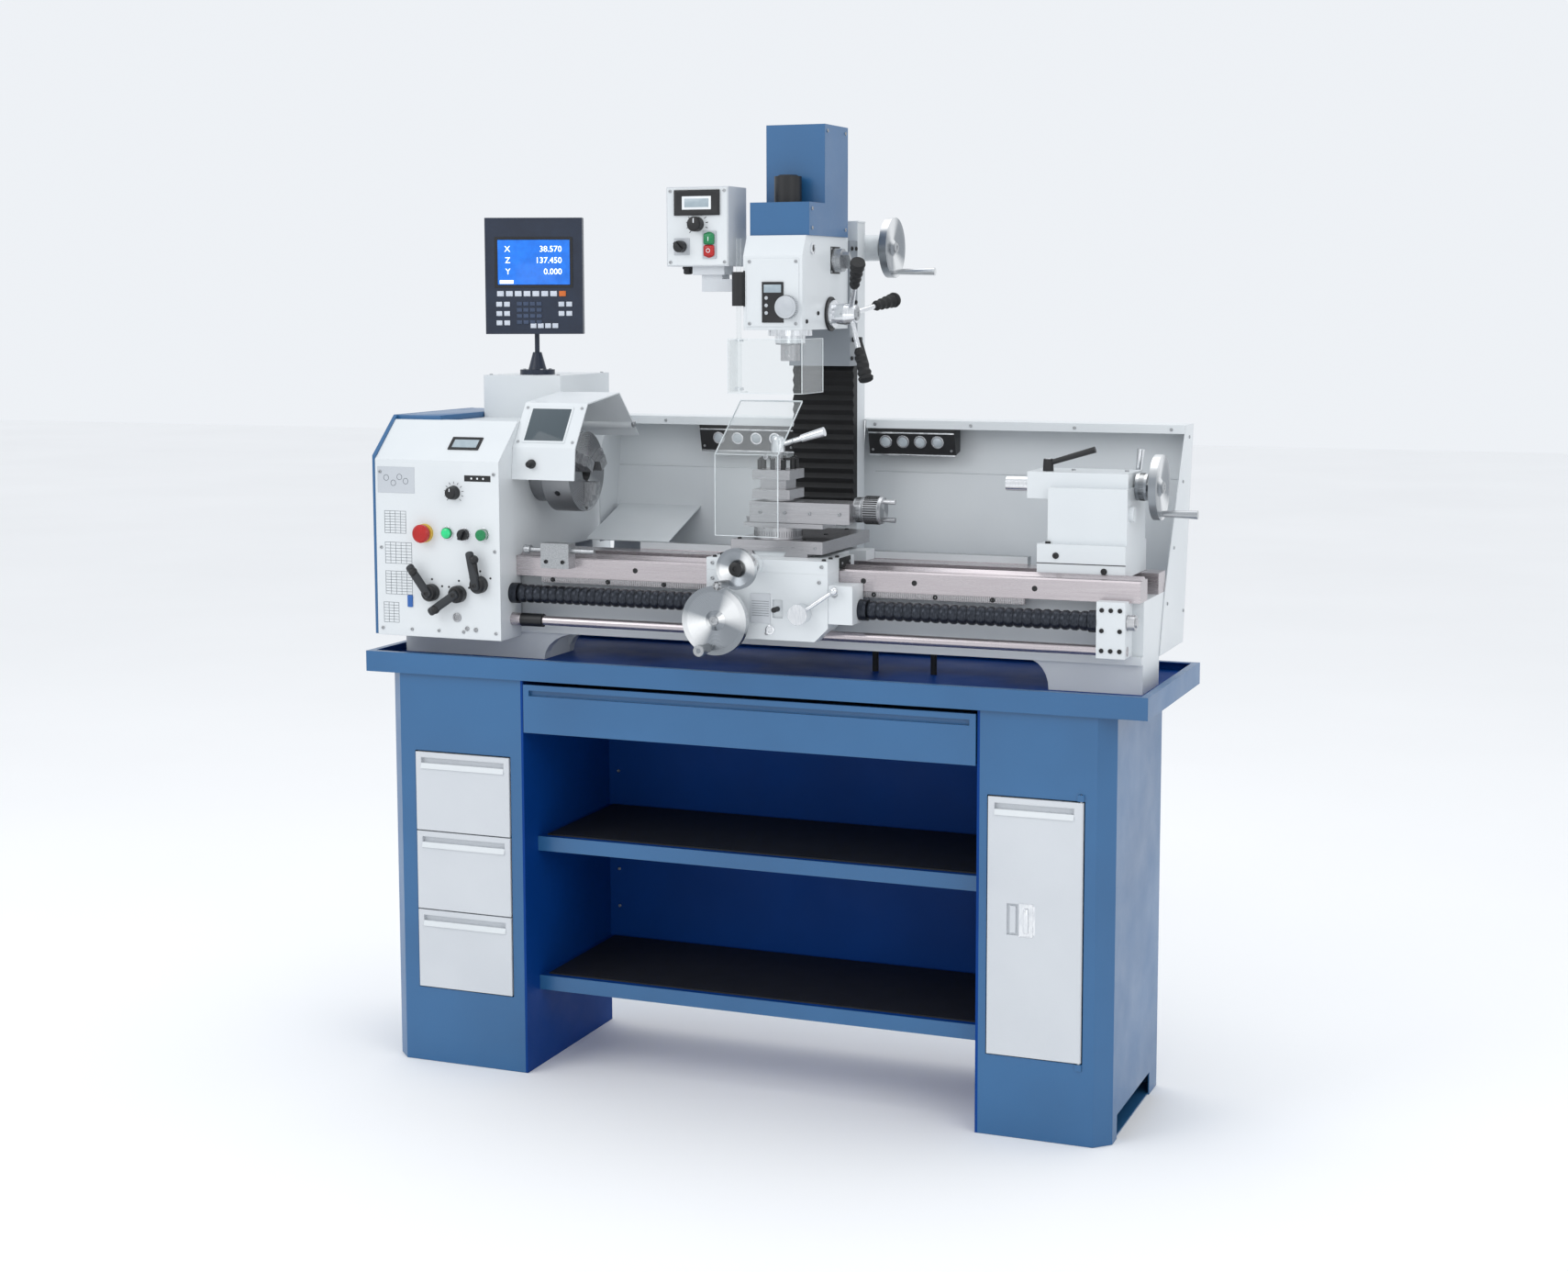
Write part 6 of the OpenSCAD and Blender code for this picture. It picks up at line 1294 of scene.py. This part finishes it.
class LATHEMILL_OT_mill(PieceOperator, bpy.types.Operator):
    """Model the mill head's front plate, readout, sight glass, knob plates and the spindle's rings"""

    bl_idname = "lathemill.mill"
    bl_label = "Mill head"

    def execute(self, context):
        head = "mill_head"
        x0, x1, y, z0 = -19.0, 101.0, MILL_FRONT, MILL_Z0
        plate = framed((x0 + 7, y - 1.3, z0 + 6), (x1 - 7, y + 0.3, z0 + 134), 3, 0.5, 0.4)
        finished(plate, "head_front_plate", head, "white enamel")
        corners_at = [(x, y - 0.8, z) for x in (x0 + 13, x1 - 13) for z in (z0 + 12, z0 + 128)]
        screws("head_plate_screws", head, corners_at, FRONT, 3.2, 2.0)
        finished(framed((20, y - 3.2, z0 + 14), (63, y - 1, z0 + 90), 2, 0.5, 0.4), "readout_panel", head,
            "black plastic")
        # The readout's screen glows faintly as painted light
        finished(block((24, y - 3.4, z0 + 70), (59, y - 2.6, z0 + 85), 0.3), "readout_screen", head,
            "pale screen")
        key = turned((29, y - 2.6, z0 + 60), FRONT, [(-0.3, 3.4), (1.2, 3.4), (1.6, 2.6)], 20)
        finished(spread(key, [(0, 0, -14), (0, 0, -28)]), "readout_keys", head, "grey plastic")
        finished(turned((72, y - 15.5, z0 + 43), FRONT, [(-1, 17), (0.6, 17), (1, 16)], 48), "fine_knob_face",
            "fine_feed_knob", "grey plastic")
        dial_marks("fine_knob_marks", "fine_feed_knob", (72, 0, z0 + 43), Y_AXIS,
            ((71.75, 96, z0 + 64), (72.25, 103, z0 + 65.2)), 40)
        side = MILL_SIDE
        finished(block((side - 0.2, 259, 1575), (side + 0.26, 311, 1627), 0.1, 1), "range_plate", head,
            "black plastic")
        bolts = [(side + 0.2, a, b) for a in (263, 307) for b in (1579, 1623)]
        screws("range_plate_screws", head, bolts, X_AXIS, 2.4, 1.4)
        finished(turned((side, 160, 1622), X_AXIS, [(-0.4, 11), (2.6, 11), (3.4, 9.5), (3.4, 7), (1.2,
            6.6)], 32),
            "sight_glass_ring", head, "chromed steel")
        finished(turned((side, 160, 1622), X_AXIS, [(0.4, 6.4), (1.8, 6.2), (2.3, 3)], 24), "sight_glass",
            head,
            "black plastic")
        finished(ring((side - 0.1, 258, 1498), X_AXIS, 27.6, 33, 4), "star_backing_ring", head,
            "black plastic")
        plugs = [(side, 190, 1500), (side, 330, 1490), (side, 130, 1485), (side, 340, 1600)]
        screws("head_side_screws", head, plugs, X_AXIS, 4, 2.6, "black plastic")
        left = [(x0, a, b) for a in (150, 330) for b in (1490, 1625)]
        screws("head_left_screws", head, left, (-1, 0, 0), 4, 2.6, "black plastic")
        finished(turned((155.2, 258, 1498), X_AXIS, [(-2, 13), (1.5, 13), (3, 11), (3, 5), (1, 4.6)], 32),
            "star_hub_cap", "quill_feed_handle", "zinc steel")
        finished(ring((MILL_X, 200, 1443.3), (0, 0, -1), 20, 28.5, 3), "quill_ring", "milling_quill",
            "turned steel")
        slots = turned((MILL_X + 16.6, 200, 1425), X_AXIS, [(-1.2, 3.4), (2.6, 3.4), (3, 2.6)], 16)
        finished(turned_about(slots, (MILL_X, 200, 1425), Z_AXIS, [90, 180, 270]), "collet_nut_pins",
            "milling_spindle", "zinc steel")
        for i, z in enumerate((1355, 1447)):
            finished(turned((-29, 112, z), Z_AXIS, [(0, 5.1), (0, 8.5), (5, 8.5), (6, 7)], 28),
                f"guard_rod_collar_{i + 1}", "mill_guard", "chromed steel")
        # Pale strips along the mill guard's edges: a painted highlight where its edges gather the light
        rim = block((-40.8, 83.6, 1350.2), (109.8, 84.4, 1351.4), 0.2, 1)
        rim = spread(rim, [(0, 0, 101.4)])
        uprights = [block((x - 0.6, 83.6, 1350.2), (x + 0.6, 84.8, 1452.8), 0.2, 1) for x in (-40.6, 109.6)]
        uprights.append(block((108.8, 194.4, 1350.2), (110.2, 195.2, 1452.8), 0.2, 1))
        depth = block((107.2, 84.2, 1350.1), (110.2, 195, 1351), 0.2, 1)
        depth = spread(depth, [(0, 0, 102)])
        finished(merge([rim, depth] + uprights), "guard_bright_edges", "mill_guard", "polished edge")
        seam = block((x0 + 4.2, 134.6, 1650), (x0 + 5.2, 136, 1706), 0.2, 1)
        cap = turned((MILL_X, 189, 1757), Z_AXIS, [(-1, 20), (2, 20), (4, 17), (4, 8), (1, 7)], 36)
        finished(cap, "drawbar_cap_top", head, "black plastic")
        finished(seam, "cover_seam", head, "blue enamel")
        cover = [(105, a, b) for a, b in ((150, 1660), (150, 1696), (330, 1660), (330, 1845), (232, 1845))]
        screws("cover_side_screws", head, cover, X_AXIS, 3.4, 2.0)
        cover = [(-15, a, b) for x, a, b in cover]
        screws("cover_left_screws", head, cover, (-1, 0, 0), 3.4, 2.0)
        vents = block((0, 344, 1760), (90, 346.2, 1764), 0.8)
        finished(spread(vents, [(0, 0, trim_size("louvre_pitch") * i) for i in range(1, 7)]),
            "motor_louvres", head, "blue enamel")
        slide = [(105, a, b) for a in (366, 390) for b in (1410, 1520, 1625)]
        screws("slide_screws", "head_slide", slide, X_AXIS, 4.2, 3, "black plastic")
        gear = [(127.8, 480 + 20 * math.cos(a), 1628 + 20 * math.sin(a)) for a in QUARTERS]
        screws("gearbox_screws", "machine_frame", gear, X_AXIS, 2.8, 2, "black plastic")
        finished(turned((156.6, 480, 1628), X_AXIS, [(-2, 11), (2, 11), (4, 9), (4, 5), (2, 4.5)], 28),
            "height_wheel_nut", "height_handwheel", "zinc steel")
        finished(block((-24.5, 400.4, 1676), (106.5, 443, 1680), 1.2), "column_cap", "machine_frame",
            "white enamel")
        return {"FINISHED"}


class LATHEMILL_OT_switch_box(PieceOperator, bpy.types.Operator):
    """Model the mill's switch box: lid, readout, speed knob with its scale, switches and cable gland"""

    bl_idname = "lathemill.switch_box"
    bl_label = "Switch box"

    def execute(self, context):
        head = "mill_head"
        x0, x1, y, z0 = -181.0, -53.0, 120.0, 1589.0
        middle = (x0 + x1) / 2
        finished(framed((x0 + 2, y - 1.4, z0 + 2), (x1 - 2, y + 0.3, z0 + 148), 2.2, 0.4, 0.5), "box_lid",
            head,
            "white enamel")
        holes = [(x, y - 0.9, z) for x in (x0 + 8, x1 - 8) for z in (z0 + 8, z0 + 142)]
        screws("box_lid_screws", head, holes, FRONT, 3.2, 1.8)
        finished(framed((middle - 47, y - 5, z0 + 96), (middle + 47, y - 1, z0 + 144), 6, 0.8, 0.8),
            "box_bezel",
            head, "black plastic")
        finished(framed((middle - 30, y - 5.2, z0 + 107), (middle + 30, y - 3.6, z0 + 132), 4, 0.8, 0.4),
            "box_screen_frame", head, "white plastic")
        # The screen glows faintly as painted light
        finished(block((middle - 25, y - 5, z0 + 111.5), (middle + 25, y - 3.8, z0 + 127.5), 0.3),
            "box_screen",
            head, "pale screen")
        knob = Vector((middle, y - 1.2, z0 + 79.5))
        mark = block(knob + Vector((-0.6, -0.3, 18)), knob + Vector((0.6, 0.2, 23)), 0.08, 1)
        marks = swung(mark, knob, Y_AXIS, -135)
        finished(turned_about(marks, knob, Y_AXIS, [27 * i for i in range(1, 11)]), "box_knob_scale", head,
            "black plastic")
        finished(turned(knob + Vector((0, -16.6, 0)), FRONT, [(-1, 12.5), (1.4, 12), (2, 10)], 36),
            "box_knob_cap",
            head, "black plastic")
        finished(block(knob + Vector((-1, -19.2, 2)), knob + Vector((1, -17.4, 11)), 0.3), "box_knob_line",
            head,
            "white plastic")
        pair = Vector((middle + 25.6, y - 1.2, z0 + 40.5))
        for name, low, high, tint in (("start", 0.4, 22, "green plastic"),
                ("stop", -22, -0.4, "red plastic")):
            finished(block(pair + Vector((-11, -8, low)), pair + Vector((11, 0.5, high)), 5, 5),
                f"box_{name}_key", head, tint)
        finished(framed(pair + Vector((-14, -3.4, -26)), pair + Vector((14, 0.3, 26)), 3, 1.2, 1.0),
            "box_switch_frame", head, "grey plastic")
        for name, z in (("on_line", 11), ("off_ring", -11)):
            piece = ring(pair + Vector((0, -8, z)), FRONT, 3, 4.2, 0.5, 24) if name == "off_ring" else block(
                pair + Vector((-0.8, -8.4, z - 4)), pair + Vector((0.8, -7.6, z + 4)), 0.2)
            finished(piece, f"box_{name}", head, "white plastic")
        turn = Vector((middle - 32, y - 1.2, z0 + 37.5))
        finished(framed(turn + Vector((-16, -2.2, -16)), turn + Vector((16, 0.3, 16)), 2, 0.6, 0.6),
            "selector_plate", head, "grey plastic")
        finished(swung(block(turn + Vector((-3.4, -22, -11)), turn + Vector((3.4, -16, 11)), 1.8, 3), turn,
            Y_AXIS, -45), "box_selector_grip", head, "black plastic")
        gland = (x0 + 22, 170, z0 + 0.3)
        finished(turned(gland, (0, 0, -1), [(-0.5, 11), (5, 11), (5, 9), (13, 9), (15, 6)], 12),
            "cable_gland",
            head, "black plastic")
        return {"FINISHED"}


class LATHEMILL_OT_stand(PieceOperator, bpy.types.Operator):
    """Model the latch's sunk plate and lever, the shelves' screws and the fronts' grip lips"""

    bl_idname = "lathemill.stand"
    bl_label = "Stand"

    def execute(self, context):
        x, y, z = 573.0, 7.0, 409.0
        finished(framed((x - 13, y - 1.4, z - 31), (x + 13, y + 0.4, z + 31), 2, 1.2, 0.6), "latch_plate",
            "cabinet_door", "chromed steel")
        finished(block((x - 4.5, y - 4, z - 24), (x + 4.5, y - 0.2, z + 22), 1.6, 3), "latch_lever",
            "cabinet_door", "chromed steel")
        shelf = [(a, 391.4, b) for a in (-425, 450) for b in (250, 330, 540, 620)]
        screws("shelf_back_screws", "machine_frame", shelf, FRONT, 3.4, 2.2)
        face = node_corners("small_drawer_1")[0].y
        for name in ("small_drawer_1", "small_drawer_2", "small_drawer_3", "cabinet_door"):
            low, high = node_corners(name)
            hinge_x, hinge_z = (5, 14.4) if name == "cabinet_door" else (0, 0)
            top = high.z - 22 - hinge_z
            lip = raw_block((low.x + 12, face - 3, top - 11), (high.x - 12 - hinge_x, face + 0.3, top))
            facing(lip, Z_AXIS)
            bpy.ops.transform.resize(value=(1, 0.1, 1), center_override=place(0, face + 0.3, 0))
            bpy.ops.object.mode_set(mode="OBJECT")
            finished(lip, f"{name}_grip_lip", name, "white enamel")
        return {"FINISHED"}


OPERATORS = (LATHEMILL_OT_stage, LATHEMILL_OT_finishes, LATHEMILL_OT_display, LATHEMILL_OT_panel,
    LATHEMILL_OT_end_cover, LATHEMILL_OT_guards, LATHEMILL_OT_bed, LATHEMILL_OT_covers,
    LATHEMILL_OT_carriage, LATHEMILL_OT_tailstock, LATHEMILL_OT_mill, LATHEMILL_OT_switch_box,
    LATHEMILL_OT_stand)
GROUPS = {"lathe_mill_stage": LatheMillStage, "lathe_mill_colours": LatheMillColours,
    "lathe_mill_trim": LatheMillTrim, "lathe_mill_display": LatheMillDisplay}


class LATHEMILL_PT_panel(bpy.types.Panel):
    """Lists what makes up the dressed machine"""

    bl_idname = "LATHEMILL_PT_panel"
    bl_label = "Lathe Mill"
    bl_space_type = "VIEW_3D"
    bl_region_type = "UI"
    bl_category = "Lathe Mill"

    def draw(self, context):
        for operator in OPERATORS:
            self.layout.operator(operator.bl_idname)
        for name, group in GROUPS.items():
            box = self.layout.box()
            for key in group.__annotations__:
                box.prop(getattr(context.scene, name), key)


def register():
    for group in GROUPS.values():
        bpy.utils.register_class(group)
    for operator in OPERATORS:
        bpy.utils.register_class(operator)
    bpy.utils.register_class(LATHEMILL_PT_panel)
    for name, group in GROUPS.items():
        setattr(bpy.types.Scene, name, PointerProperty(type=group))


def unregister():
    for name in GROUPS:
        delattr(bpy.types.Scene, name)
    bpy.utils.unregister_class(LATHEMILL_PT_panel)
    for operator in reversed(OPERATORS):
        bpy.utils.unregister_class(operator)
    for group in reversed(GROUPS.values()):
        bpy.utils.unregister_class(group)


def main():
    register()
    for operator in OPERATORS:
        group, name = operator.bl_idname.split(".")
        getattr(getattr(bpy.ops, group), name)()


if __name__ == "__main__":
    main()
